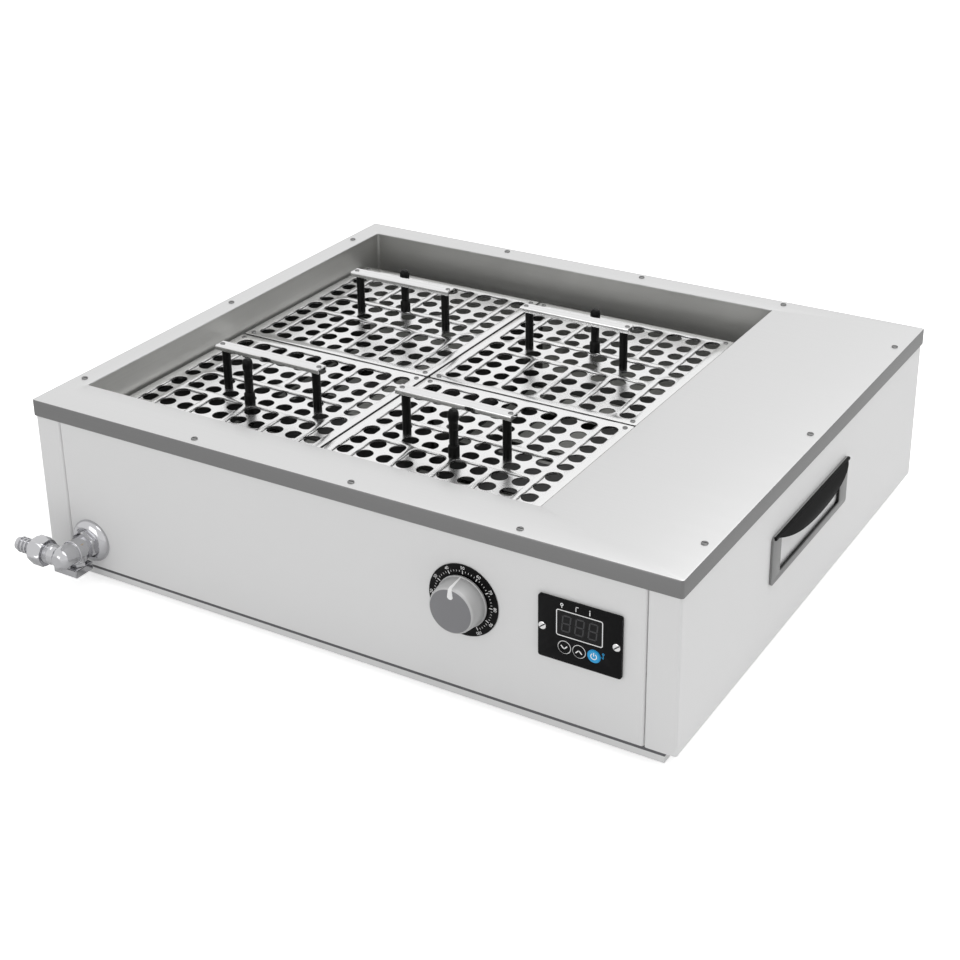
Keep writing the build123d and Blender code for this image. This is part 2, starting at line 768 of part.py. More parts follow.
def handle_frame():
    """The frame round the right-hand grip recess, on the side panel."""
    plate = extrude(RectangleRounded(handle_length, handle_tall, handle_corner), handle_plate)
    middle = handle_window_low + handle_window_tall / 2 - handle_level
    plate -= Pos(0, middle, handle_plate / 2) * Box(handle_window_length, handle_window_tall, handle_plate)
    return Pos(side_face, handle_y, handle_level) * (Plane.YZ * plate)


def handle_grip():
    """The grip that hangs in front of the right-hand recess: a bowed sheet cut to a circular arc below."""
    top = handle_window_low + handle_window_tall
    low = top - grip_drop
    half = handle_window_length / 2
    bow_radius = (grip_drop ** 2 + grip_stand ** 2) / (2 * grip_stand)
    ring = Circle(bow_radius) - Circle(bow_radius - grip_sheet)
    bow = Pos(grip_stand - bow_radius, low) * ring & Pos(half, low + half) * Rectangle(2 * half, 2 * half)
    edge_radius = (grip_drop ** 2 + half ** 2) / (2 * grip_drop)
    outline = Pos(0, low + edge_radius) * Circle(edge_radius) & Pos(0, top - half) * Rectangle(2 * half, 2 * half)
    grip = extrude(Plane.XZ * bow, half, both=True) & Plane.YZ * extrude(outline, grip_stand)
    return Pos(side_face, handle_y, 0) * grip


def rack_frame():
    """The top sheet of a rack: a folded skirt and twelve windows round the tube holes, on its own middle."""
    half = rack_size / 2
    frame = block((-half, -half, rack_level - rack_skirt), (half, half, rack_level))
    inner = half - rack_sheet
    frame -= block((-inner, -inner, rack_level - rack_skirt), (inner, inner, rack_level - rack_sheet))
    for first_column, last_column, first_row, last_row in rack_windows:
        left = hole_place(first_column) - window_reach
        right = hole_place(last_column) + window_reach
        front = hole_place(first_row) - window_reach
        back = hole_place(last_row) + window_reach
        frame -= block((left, front, rack_level - rack_sheet), (right, back, rack_level))
    return frame


def hole_place(number):
    """How far the centre of a numbered row or column of holes lies from the middle of the rack."""
    return (number - (holes_per_side - 1) / 2) * hole_pitch


def rack_tube_plate():
    """The perforated sheet under the frame, with a low turned-up rim."""
    half = rack_size / 2 - rack_sheet - rack_fit
    top = rack_level - rack_sheet
    plate = block((-half, -half, plate_low), (half, half, top))
    inner = half - rack_sheet
    plate -= block((-inner, -inner, plate_low + rack_sheet), (inner, inner, top))
    radius = hole_diameter / 2 * sqrt(2 * pi / (hole_sides * sin(2 * pi / hole_sides)))
    hole = RegularPolygon(radius, hole_sides)
    holes = [place * hole for place in GridLocations(hole_pitch, hole_pitch, holes_per_side, holes_per_side)]
    return plate - Pos(0, 0, plate_low) * extrude(Sketch() + holes, rack_sheet)


def rack_stand():
    """The channel that carries the tubes: slotted bottom, two side walls, flanges under the tube plate."""
    half = rack_size / 2 - rack_sheet - rack_fit
    line = half - rack_stand_sheet / 2
    low = shelf_level + rack_stand_sheet / 2
    high = plate_low - rack_stand_sheet / 2
    points = [(line - rack_stand_flange, high), (line, high), (line, low)]
    points += [(-x, z) for x, z in reversed(points)]
    stand = Plane.XZ * (Pos(0, 0, -half) * bent_sheet(points, rack_stand_sheet, 2 * half))
    for place in GridLocations(rack_size / rack_slot_count, 1, rack_slot_count, 1):
        stand -= place * Pos(0, 0, low) * Box(rack_slot_width, rack_size - 2 * rack_slot_inset, 2 * rack_stand_sheet)
    return stand


def rack_handle_bar(first_column):
    """The bar across the two pillars: a channel with its edges folded down."""
    half = hole_pitch * post_column_count / 2 + bar_overhang
    middle = hole_place(first_column) + hole_pitch * post_column_count / 2
    low = rack_level + post_height
    bar = block((-half, -bar_width / 2, low), (half, bar_width / 2, low + bar_sheet))
    for side in (-1, 1):
        edge = side * (bar_width - bar_sheet) / 2
        bar += Pos(0, edge, low - bar_fold / 2 + bar_sheet) * Box(2 * half, bar_sheet, bar_fold)
    return Pos(middle, 0, 0) * bar


def rack_pillars(first_column, side):
    """The two pillars of the handle and the separate knob pillar, which is on the side towards the well wall."""
    foot = plate_low + rack_sheet
    pillar = Pos(0, 0, foot) * rod(post_radius, rack_level + post_height - foot)
    shapes = [Pos(hole_place(column), 0, 0) * pillar for column in (first_column, first_column + post_column_count)]
    knob = rod(knob_post_radius, knob_post_height) + rod(knob_post_collar_radius, knob_post_collar_height)
    shapes.append(Pos(0, side * hole_pitch, rack_level) * knob)
    return shapes


def save(name, shapes):
    """Moves a node from casing coordinates to the origin below the middle of the footprint and writes it."""
    if isinstance(shapes, list):
        solids = [solid for shape in shapes for solid in shape.solids()]
    else:
        solids = shapes.solids()
    moved = [Pos(0, origin_shift, 0) * solid for solid in solids]
    shape = moved[0] if len(moved) == 1 else Compound(children=moved)
    shape.label = name
    export_step(shape, f"parts/{name}.step")


def build():
    """Makes every node and writes one STEP file for each."""
    os.makedirs("parts", exist_ok=True)
    right_side = side_panel()
    right_frame = handle_frame()
    right_grip = handle_grip()
    nodes = {
        "top_cover": top_cover(),
        "front_panel": front_panel(),
        "back_panel": back_panel(),
        "right_side_panel": right_side,
        "left_side_panel": mirror(right_side, Plane.YZ),
        "base_tray": base_tray(),
        "rubber_feet": rubber_feet(),
        "bath_tank": bath_tank(),
        "insulation_jacket": insulation_jacket(),
        "heater_rods": heater_rods(),
        "heater_guard": heater_guard(),
        "temperature_probe": temperature_probe(),
        "thermostat_body": thermostat_body(),
        "thermostat_bulb": thermostat_bulb(),
        "thermostat_shaft": thermostat_shaft(),
        "dial_plate": dial_plate(),
        "dial_knob": dial_knob(),
        "knob_pointer": knob_pointer(),
        "controller_fascia": controller_fascia(),
        "controller_case": controller_case(),
        "display_window": display_window(),
        "key_down": key(0),
        "key_up": key(1),
        "key_power": key(2),
        "partition_plate": partition_plate(),
        "power_relay": power_relay(),
        "mains_inlet": mains_inlet(),
        "drain_escutcheon": drain_escutcheon(),
        "drain_bulkhead": drain_bulkhead(),
        "drain_valve_body": drain_valve_body(),
        "drain_plug": drain_plug(),
        "drain_bonnet": drain_bonnet(),
        "drain_lever": drain_lever(),
        "drain_union_nut": drain_union_nut(),
        "drain_hose_barb": drain_hose_barb(),
        "right_handle_frame": right_frame,
        "left_handle_frame": mirror(right_frame, Plane.YZ),
        "right_handle_grip": right_grip,
        "left_handle_grip": mirror(right_grip, Plane.YZ),
    }
    frame = rack_frame()
    tube_plate = rack_tube_plate()
    stand = rack_stand()
    for name, column, row, post_column, side in rack_places:
        spot = Pos(rack_left_x + column * rack_pitch, rack_front_y + row * rack_pitch, 0)
        nodes[f"{name}_frame"] = spot * frame
        nodes[f"{name}_tube_plate"] = spot * tube_plate
        nodes[f"{name}_stand"] = spot * stand
        nodes[f"{name}_handle_bar"] = spot * rack_handle_bar(post_column)
        nodes[f"{name}_pillars"] = [spot * shape for shape in rack_pillars(post_column, side)]
    for name, shapes in nodes.items():
        save(name, shapes)


build()
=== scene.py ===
from math import atan2, cos, pi, radians, sin, sqrt
import bpy
import bmesh
from mathutils import Matrix, Vector


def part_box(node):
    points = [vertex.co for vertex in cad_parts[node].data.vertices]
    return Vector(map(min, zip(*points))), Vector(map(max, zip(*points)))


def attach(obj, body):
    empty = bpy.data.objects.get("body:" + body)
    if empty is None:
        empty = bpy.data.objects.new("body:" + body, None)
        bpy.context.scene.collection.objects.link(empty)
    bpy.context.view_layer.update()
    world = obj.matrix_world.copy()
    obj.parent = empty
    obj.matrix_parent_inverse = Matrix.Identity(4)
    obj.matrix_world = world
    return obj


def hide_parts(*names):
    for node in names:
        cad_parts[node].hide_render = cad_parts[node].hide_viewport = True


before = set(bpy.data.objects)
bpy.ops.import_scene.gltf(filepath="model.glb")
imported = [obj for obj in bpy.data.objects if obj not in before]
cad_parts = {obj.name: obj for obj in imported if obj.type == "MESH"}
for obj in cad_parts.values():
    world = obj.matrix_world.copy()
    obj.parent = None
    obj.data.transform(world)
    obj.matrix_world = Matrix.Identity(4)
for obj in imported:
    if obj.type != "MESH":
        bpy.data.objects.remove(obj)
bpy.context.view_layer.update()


def boxOf(node):
    # corners of a CAD node in millimetres
    low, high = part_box(node)
    return low * 1000, high * 1000


def middleOf(node):
    # middle of a CAD node, to a hundredth of a millimetre
    low, high = boxOf(node)
    return [round((a + b) / 2, 2) for a, b in zip(low, high)]


def newObject(name, data):
    thing = bpy.data.objects.new(name, data)
    bpy.context.scene.collection.objects.link(thing)
    return thing


def linkAll(tree, *links):
    # each link is a node and its output, then a node and its input
    for source, output, target, entry in links:
        tree.links.new(source.outputs[output], target.inputs[entry])


# Colours and materials
grainNoise = {"detail": 4.0, "roughness": 0.6, "low": 0.3, "high": 0.7, "bump": 0.0002}


def linear(*shades):
    # screen shades 0-1 to the values that shaders take
    return [s / 12.92 if s <= 0.04045 else ((s + 0.055) / 1.055) ** 2.4 for s in shades] + [1.0]


def shaderOf(material):
    return material.node_tree.nodes["Principled BSDF"]


def newMaterial(name, shade, metallic=0.0, roughness=0.5, **more):
    material = bpy.data.materials.new(name)
    material.use_nodes = True
    inputs = shaderOf(material).inputs
    inputs["Base Color"].default_value = linear(*shade)
    inputs["Metallic"].default_value = metallic
    inputs["Roughness"].default_value = roughness
    for socket, value in more.items():
        inputs[socket.replace("_", " ")].default_value = value
    return material


def grain(material, stretch, amount, height):
    # long noise streaks in the object's own coordinates, read by roughness and bump
    tree = material.node_tree
    shader = shaderOf(material)
    coords = tree.nodes.new("ShaderNodeTexCoord")
    mapping = tree.nodes.new("ShaderNodeMapping")
    mapping.inputs["Scale"].default_value = stretch
    noise = tree.nodes.new("ShaderNodeTexNoise")
    noise.inputs["Scale"].default_value = 1.0
    noise.inputs["Detail"].default_value = grainNoise["detail"]
    noise.inputs["Roughness"].default_value = grainNoise["roughness"]
    spread = tree.nodes.new("ShaderNodeMapRange")
    spread.inputs["From Min"].default_value = grainNoise["low"]
    spread.inputs["From Max"].default_value = grainNoise["high"]
    rough = shader.inputs["Roughness"].default_value
    spread.inputs["To Min"].default_value = rough - amount
    spread.inputs["To Max"].default_value = rough + amount
    bump = tree.nodes.new("ShaderNodeBump")
    bump.inputs["Strength"].default_value = height
    bump.inputs["Distance"].default_value = grainNoise["bump"]
    linkAll(tree, (coords, "Object", mapping, "Vector"), (mapping, "Vector", noise, "Vector"),
            (noise, "Fac", spread, "Value"), (spread, "Result", shader, "Roughness"),
            (noise, "Fac", bump, "Height"), (bump, "Normal", shader, "Normal"))
    return material


coverSteel = grain(newMaterial("coverSteel", (0.84, 0.84, 0.84), 1.0, 0.36), (3, 900, 900), 0.05, 0.12)
# darker copy of the cover steel as painted shade and reflection, on the cover's skirt and underside and on
# the screw heads
shadedSteel = grain(newMaterial("shadedSteel", (0.50, 0.50, 0.50), 0.85, 0.42), (3, 900, 900), 0.05, 0.12)
# the well's steel, darker than the cover steel as painted shade and reflection on the well walls; the upright
# streaks are grain
shadedTankSteel = grain(newMaterial("shadedTankSteel", (0.68, 0.68, 0.67), 0.8, 0.45), (4, 4, 700), 0.06, 0.12)
rackSteel = grain(newMaterial("rackSteel", (0.93, 0.93, 0.93), 1.0, 0.24), (40, 40, 40), 0.03, 0.03)
plateSteel = grain(newMaterial("plateSteel", (0.93, 0.93, 0.93), 1.0, 0.27), (30, 30, 30), 0.03, 0.03)
brightSteel = newMaterial("brightSteel", (0.90, 0.90, 0.90), 1.0, 0.16)
casingPaint = grain(newMaterial("casingPaint", (0.89, 0.89, 0.89), 0.0, 0.42), (1400, 1400, 1400), 0.03, 0.05)
zincSheet = newMaterial("zincSheet", (0.42, 0.42, 0.43), 0.7, 0.5)
chrome = newMaterial("chromePlate", (0.76, 0.76, 0.77), 1.0, 0.12)
# dark steel for the stands: painted shade seen through the tube holes
shadedStandSteel = newMaterial("shadedStandSteel", (0.34, 0.34, 0.34), 1.0, 0.3)
blackMoulding = newMaterial("blackMoulding", (0.03, 0.03, 0.03), 0.0, 0.4, Specular_IOR_Level=0.2)
pillarBlack = newMaterial("pillarBlack", (0.012, 0.012, 0.012), 0.0, 0.4, Specular_IOR_Level=0.15)
gripBlack = newMaterial("gripBlack", (0.006, 0.006, 0.006), 0.0, 0.45, Specular_IOR_Level=0.1)
dialBlack = newMaterial("dialBlack", (0.015, 0.015, 0.017), 0.0, 0.35, Specular_IOR_Level=0.12)
fasciaBlack = newMaterial("fasciaBlack", (0.02, 0.02, 0.024), 0.0, 0.35, Specular_IOR_Level=0.12)
frameGrey = newMaterial("frameGrey", (0.50, 0.50, 0.50), 0.0, 0.4)
knobGrey = newMaterial("knobGrey", (0.50, 0.50, 0.51), 0.2, 0.42)
knobRim = newMaterial("knobRim", (0.74, 0.74, 0.74), 0.3, 0.38)
whitePrint = newMaterial("whitePrint", (0.95, 0.95, 0.95), 0.0, 0.45)
displayGlass = newMaterial("displayGlass", (0.05, 0.05, 0.055), 0.0, 0.25, Specular_IOR_Level=0.2)
segmentDark = newMaterial("segmentDark", (0.17, 0.17, 0.18), 0.0, 0.3)
keyBlue = newMaterial("keyBlue", (0.10, 0.62, 0.85), 0.0, 0.3)
rubberBlack = newMaterial("rubberBlack", (0.07, 0.07, 0.07), 0.0, 0.7)
sheathSteel = newMaterial("sheathSteel", (0.5, 0.49, 0.48), 1.0, 0.35)
brassTurned = newMaterial("brassTurned", (0.78, 0.66, 0.42), 1.0, 0.3)
woolFelt = newMaterial("woolFelt", (0.76, 0.73, 0.64), 0.0, 0.9)
print("materials ready")


# Shapes are lists of points in millimetres and of faces

def shape(verts, faces, material=0):
    return {"verts": [tuple(v) for v in verts], "faces": [tuple(f) for f in faces],
            "slots": [material] * len(faces)}


def moved(part, matrix):
    return {**part, "verts": [tuple(matrix @ Vector(v)) for v in part["verts"]]}


def joined(parts):
    verts, faces, slots = [], [], []
    for part in parts:
        start = len(verts)
        verts += part["verts"]
        faces += [tuple(i + start for i in face) for face in part["faces"]]
        slots += part["slots"]
    return {"verts": verts, "faces": faces, "slots": slots}


def at(x=0.0, y=0.0, z=0.0):
    return Matrix.Translation((x, y, z))


def loft(rings, material=0, capStart=False, capEnd=False):
    # closed rings of equal length, joined by quads
    count = len(rings[0])
    verts = [p for ring in rings for p in ring]
    faces = []
    for r in range(len(rings) - 1):
        for i in range(count):
            j = (i + 1) % count
            faces.append((r * count + i, r * count + j, (r + 1) * count + j, (r + 1) * count + i))
    if capStart:
        faces.append(tuple(reversed(range(count))))
    if capEnd:
        faces.append(tuple((len(rings) - 1) * count + i for i in range(count)))
    return shape(verts, faces, material)


def prism(outline, low, high):
    # a flat outline, closed at two levels
    return loft([[(x, y, z) for x, y in outline] for z in (low, high)], 0, True, True)


def circleLoop(radius, steps=32, cx=0.0, cy=0.0):
    angles = [2 * pi * k / steps for k in range(steps)]
    return [(cx + radius * cos(a), cy + radius * sin(a)) for a in angles]


def turnedShape(profile, steps=64):
    # revolves (radius, height) pairs about Z; a radius of 0 closes an end
    capStart = profile[0][0] == 0
    capEnd = profile[-1][0] == 0
    inner = profile[1 if capStart else 0: -1 if capEnd else None]
    rings = [[(x, y, height) for x, y in circleLoop(radius, steps)] for radius, height in inner]
    if not (capStart or capEnd):
        rings.append(rings[0])
    return loft(rings, 0, capStart, capEnd)


def roundedRing(halfX, halfY, radius, height, steps=6, cx=0.0, cy=0.0):
    points = []
    for k, (sx, sy) in enumerate(((1, 1), (-1, 1), (-1, -1), (1, -1))):
        for s in range(steps + 1):
            angle = pi / 2 * (k + s / steps)
            x = sx * (halfX - radius) + radius * cos(angle)
            y = sy * (halfY - radius) + radius * sin(angle)
            points.append((cx + x, cy + y, height))
    return points


def rectLoop(x0, y0, x1, y1, radius=0.0, steps=6):
    if radius <= 0:
        return [(x0, y0), (x1, y0), (x1, y1), (x0, y1)]
    ring = roundedRing((x1 - x0) / 2, (y1 - y0) / 2, radius, 0, steps, (x0 + x1) / 2, (y0 + y1) / 2)
    return [(p[0], p[1]) for p in ring]


def slab(low, high, radius=0.3, edge=0.0, steps=4):
    # a block with rounded upright edges and, where edge is given, eased rims
    cx, cy = (low[0] + high[0]) / 2, (low[1] + high[1]) / 2
    hx, hy = (high[0] - low[0]) / 2, (high[1] - low[1]) / 2
    if edge:
        levels = [(edge, low[2]), (0, low[2] + edge), (0, high[2] - edge), (edge, high[2])]
    else:
        levels = [(0, low[2]), (0, high[2])]
    rings = [roundedRing(hx - e, hy - e, max(radius - e, 0.05), z, steps, cx, cy) for e, z in levels]
    return loft(rings, 0, True, True)


def takeShape(holder, scale=1, lift=0.0):
    # the evaluated mesh of an object as a shape; the object itself goes
    mesh = bpy.data.meshes.new_from_object(holder.evaluated_get(bpy.context.evaluated_depsgraph_get()))
    points = [v.co * scale for v in mesh.vertices]
    part = shape([(p.x, p.y, p.z + lift) for p in points], [p.vertices for p in mesh.polygons])
    bpy.data.objects.remove(holder)
    bpy.data.meshes.remove(mesh)
    return part


def holedPlate(outline, holes, low, high, ease):
    # a flat plate between two levels, from loops of 2-D points, with its rims eased
    curve = bpy.data.curves.new("loops", "CURVE")
    curve.dimensions = "2D"
    curve.fill_mode = "BOTH"
    for loop in [outline] + list(holes):
        spline = curve.splines.new("POLY")
        spline.points.add(len(loop) - 1)
        for point, place in zip(spline.points, loop):
            point.co = (place[0], place[1], 0, 1)
        spline.use_cyclic_u = True
    curve.extrude = (high - low) / 2 - ease
    curve.bevel_depth = ease
    curve.bevel_resolution = 1
    curve.offset = -ease
    part = takeShape(newObject("loops", curve), 1, (low + high) / 2)
    bpy.data.curves.remove(curve)
    return part


def wordShape(text, size, thickness=0.06):
    # numbers and signs, centred, made a mesh at once
    curve = bpy.data.curves.new("word", "FONT")
    curve.body = text
    curve.size = size
    curve.align_x = "CENTER"
    curve.align_y = "CENTER"
    curve.extrude = thickness / 2
    curve.resolution_u = 3
    part = takeShape(newObject("word", curve))
    bpy.data.curves.remove(curve)
    return part


def flatRing(outer, inner, z, thick=0.06):
    # a printed band between two loops of equal length
    levels = ((inner, z), (outer, z), (outer, z + thick), (inner, z + thick), (inner, z))
    return loft([[(x, y, level) for x, y in loop] for loop, level in levels])


def circleRing(outer, inner, x, y, z, steps):
    return flatRing(circleLoop(outer, steps, x, y), circleLoop(inner, steps, x, y), z)


def stroke(x0, y0, x1, y1, width, z, thick=0.06):
    # a flat printed stroke between two points
    along = Vector((x1 - x0, y1 - y0)).normalized() * width / 2
    across = Vector((-along.y, along.x))
    corners = [(x0 - along.x + s * across.x, y0 - along.y + s * across.y) for s in (1, -1)]
    corners += [(x1 + along.x + s * across.x, y1 + along.y + s * across.y) for s in (-1, 1)]
    return prism(corners, z, z + thick)


meshing = {"weld": 2e-6, "sharpAngle": 32}


def addPiece(name, part, materials, body="bath", replaces=()):
    # makes one object of a shape, in metres, and lets it ride on a CAD body
    mesh = bpy.data.meshes.new(name)
    mesh.from_pydata([(x / 1000, y / 1000, z / 1000) for x, y, z in part["verts"]], [], part["faces"])
    for polygon, slotIndex in zip(mesh.polygons, part["slots"]):
        polygon.material_index = slotIndex
    work = bmesh.new()
    work.from_mesh(mesh)
    bmesh.ops.remove_doubles(work, verts=work.verts, dist=meshing["weld"])
    bmesh.ops.recalc_face_normals(work, faces=work.faces)
    for face in work.faces:
        face.smooth = True
    for edge in work.edges:
        if len(edge.link_faces) == 2 and edge.calc_face_angle(0) > radians(meshing["sharpAngle"]):
            edge.smooth = False
    work.to_mesh(mesh)
    work.free()
    for material in materials:
        mesh.materials.append(material)
    piece = newObject(name, mesh)
    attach(piece, body)
    if replaces:
        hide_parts(*replaces)
    return piece


def paint(material, *nodes):
    # gives shown CAD nodes their finish
    for node in nodes:
        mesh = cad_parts[node].data
        mesh.materials.clear()
        mesh.materials.append(material)


# Finish of every CAD node that stays in view
paint(coverSteel, "top_cover")
paint(casingPaint, "front_panel", "back_panel", "right_side_panel", "left_side_panel", "base_tray")
paint(zincSheet, "partition_plate", "thermostat_body", "thermostat_shaft")
paint(rubberBlack, "rubber_feet")
paint(shadedTankSteel, "bath_tank", "heater_guard")
paint(woolFelt, "insulation_jacket")
paint(sheathSteel, "heater_rods", "temperature_probe", "thermostat_bulb")
paint(dialBlack, "dial_plate")
paint(knobGrey, "dial_knob")
paint(whitePrint, "knob_pointer")
paint(fasciaBlack, "controller_fascia", "key_down", "key_up")
paint(keyBlue, "key_power")
paint(displayGlass, "display_window")
paint(blackMoulding, "controller_case", "power_relay", "mains_inlet")
paint(chrome, "drain_escutcheon", "drain_bulkhead", "drain_valve_body", "drain_bonnet")
paint(chrome, "drain_lever", "drain_union_nut", "drain_hose_barb")
paint(brassTurned, "drain_plug")
paint(frameGrey, "right_handle_frame", "left_handle_frame")
paint(gripBlack, "right_handle_grip", "left_handle_grip")
for rackName in ("rack_front_left", "rack_front_right", "rack_back_left", "rack_back_right"):
    paint(rackSteel, rackName + "_frame", rackName + "_handle_bar")
    paint(shadedStandSteel, rackName + "_stand")
    paint(plateSteel, rackName + "_tube_plate")
    paint(pillarBlack, rackName + "_pillars")
print("CAD nodes painted")

coverLow, coverHigh = boxOf("top_cover")
middleY = (coverLow.y + coverHigh.y) / 2
frontY = boxOf("front_panel")[0].y
sideX = boxOf("right_side_panel")[1].x


def frontAt(x, z, stand=0.0):
    # local X to the right, local Y up, local Z out of the front panel
    return at(x, frontY - stand, z) @ Matrix.Rotation(pi / 2, 4, "X")


def sideAt(sign, y, z):
    # local Y up, local Z out of the side panel
    turn = Matrix(((0, 0, 1, 0), (1, 0, 0, 0), (0, 1, 0, 0), (0, 0, 0, 1)))
    if sign < 0:
        turn = Matrix.Rotation(pi, 4, "Z") @ turn
    return at(sign * sideX, y, z) @ turn


# Node trees for what repeats and for the perforated sheet

def newTree(name, inputs):
    tree = bpy.data.node_groups.new(name, "GeometryNodeTree")
    for label, kind in inputs:
        tree.interface.new_socket(name=label, in_out="INPUT", socket_type="NodeSocket" + kind)
    tree.interface.new_socket(name="Geometry", in_out="OUTPUT", socket_type="NodeSocketGeometry")
    return tree, tree.nodes.new("NodeGroupInput"), tree.nodes.new("NodeGroupOutput")


def runTree(name, tree, host, **values):
    # evaluates a node tree on a host mesh and gives its result back as a shape in millimetres
    holder = newObject(name, host)
    modifier = holder.modifiers.new(name, "NODES")
    modifier.node_group = tree
    for item in tree.interface.items_tree:
        if item.in_out == "INPUT" and item.name in values:
            modifier[item.identifier] = values[item.name]
    holder.update_tag()
    bpy.context.view_layer.update()
    return takeShape(holder, 1000)


def repeatTree():
    # copies of one template object on the points of the host mesh
    tree, given, result = newTree("repeatedPiece", [
        ("Geometry", "Geometry"), ("Template", "Object"), ("Material", "Material")])
    info = tree.nodes.new("GeometryNodeObjectInfo")
    copies = tree.nodes.new("GeometryNodeInstanceOnPoints")
    real = tree.nodes.new("GeometryNodeRealizeInstances")
    finish = tree.nodes.new("GeometryNodeSetMaterial")
    linkAll(tree, (given, "Template", info, "Object"), (given, "Geometry", copies, "Points"),
            (info, "Geometry", copies, "Instance"), (copies, "Instances", real, "Geometry"),
            (real, "Geometry", finish, "Geometry"), (given, "Material", finish, "Material"),
            (finish, "Geometry", result, "Geometry"))
    return tree


def perforatedTree():
    # a sheet of square cells, each with one round hole, laid out on a grid
    tree, given, result = newTree("perforatedSheet", [
        ("Geometry", "Geometry"), ("Columns", "Int"), ("Rows", "Int"), ("Pitch", "Float"),
        ("Hole Radius", "Float"), ("Segments", "Int"), ("Thickness", "Float"), ("Span X", "Float"),
        ("Span Y", "Float"), ("Material", "Material")])
    square = tree.nodes.new("GeometryNodeCurvePrimitiveQuadrilateral")
    circle = tree.nodes.new("GeometryNodeCurvePrimitiveCircle")
    both = tree.nodes.new("GeometryNodeJoinGeometry")
    fill = tree.nodes.new("GeometryNodeFillCurve")
    grid = tree.nodes.new("GeometryNodeMeshGrid")
    copies = tree.nodes.new("GeometryNodeInstanceOnPoints")
    real = tree.nodes.new("GeometryNodeRealizeInstances")
    weld = tree.nodes.new("GeometryNodeMergeByDistance")
    thick = tree.nodes.new("GeometryNodeExtrudeMesh")
    under = tree.nodes.new("GeometryNodeFlipFaces")
    closed = tree.nodes.new("GeometryNodeJoinGeometry")
    seam = tree.nodes.new("GeometryNodeMergeByDistance")
    last = tree.nodes.new("GeometryNodeRealizeInstances")
    finish = tree.nodes.new("GeometryNodeSetMaterial")
    thick.inputs["Individual"].default_value = False
    thick.inputs["Offset"].default_value = (0, 0, 1)
    for node in (weld, seam):
        node.inputs["Distance"].default_value = 1e-5
    linkAll(tree, (given, "Pitch", square, "Width"), (given, "Pitch", square, "Height"),
            (given, "Segments", circle, "Resolution"), (given, "Hole Radius", circle, "Radius"),
            (square, "Curve", both, 0), (circle, "Curve", both, 0), (both, 0, fill, "Curve"),
            (given, "Columns", grid, "Vertices X"), (given, "Rows", grid, "Vertices Y"),
            (given, "Span X", grid, "Size X"), (given, "Span Y", grid, "Size Y"),
            (grid, "Mesh", copies, "Points"), (fill, "Mesh", copies, "Instance"),
            (copies, "Instances", real, "Geometry"), (real, "Geometry", weld, "Geometry"),
            (weld, "Geometry", thick, "Mesh"), (given, "Thickness", thick, "Offset Scale"),
            (weld, "Geometry", under, "Mesh"), (thick, "Mesh", closed, 0), (under, "Mesh", closed, 0),
            (closed, 0, seam, "Geometry"), (seam, "Geometry", last, "Geometry"),
            (last, "Geometry", finish, "Geometry"), (given, "Material", finish, "Material"),
            (finish, "Geometry", result, "Geometry"))
    return tree


repeater = repeatTree()
perforator = perforatedTree()


def addRepeated(name, template, places, material, body="bath", replaces=()):
    # one piece of a template in millimetres, repeated at a list of places
    mesh = bpy.data.meshes.new(name + "Template")
    mesh.from_pydata([tuple(c / 1000 for c in v) for v in template["verts"]], [], template["faces"])
    sample = newObject(name + "Template", mesh)
    host = bpy.data.meshes.new(name + "Places")
    host.from_pydata([tuple(c / 1000 for c in place) for place in places], [], [])
    part = runTree(name, repeater, host, Template=sample, Material=material)
    bpy.data.objects.remove(sample)
    bpy.data.meshes.remove(mesh)
    return addPiece(name, part, [material], body, replaces)


screw = {"base": 0.4, "rim": 0.3, "top": 0.86, "lean": 0.14, "baseSteps": 24, "rimSteps": 10}


def screwHead(radius, height, slot, deep):
    # two half discs beside a slot, on a low base
    floorAt = height - deep
    base = [(0, -screw["base"]), (radius, -screw["base"]), (radius, floorAt), (0, floorAt)]
    parts = [turnedShape(base, screw["baseSteps"])]
    start = atan2(slot, sqrt(radius ** 2 - slot ** 2))
    for side, turnBy in ((1, 0), (-1, pi)):
        steps = screw["rimSteps"]
        angles = [start + (pi - 2 * start) * k / steps + turnBy for k in range(steps + 1)]
        rim = [(radius * cos(a), radius * sin(a)) for a in angles]
        top = [(screw["top"] * x, screw["top"] * y + screw["lean"] * slot * side) for x, y in rim]
        levels = ((rim, floorAt - 0.1), (rim, height - screw["rim"]), (top, height))
        parts.append(loft([[(x, y, z) for x, y in loop] for loop, z in levels], 0, True, True))
    return joined(parts)


# Pressed cover with brushed top, turned-down skirt and the edge of the well
cover = {
    "corner": 3.0, "leastCorner": 0.6, "ease": 1.0, "hem": 0.25, "sheet": 1.2, "steps": 6,
    "wellLow": (-325.5, -220.75), "wellSide": 516.0, "wellCorner": 1.6, "wellEase": 0.5, "lip": (0.1, 0.2),
}
halfX, halfY = (coverHigh.x - coverLow.x) / 2, (coverHigh.y - coverLow.y) / 2
wellHalf = cover["wellSide"] / 2
wellX, wellY = [corner + wellHalf for corner in cover["wellLow"]]


def coverRing(inset, z):
    radius = max(cover["corner"] - inset, cover["leastCorner"])
    return roundedRing(halfX - inset, halfY - inset, radius, z, cover["steps"], 0, middleY)


def wellRing(grow, z):
    half = wellHalf + grow
    return roundedRing(half, half, cover["wellCorner"] + grow, z, cover["steps"], wellX, wellY)


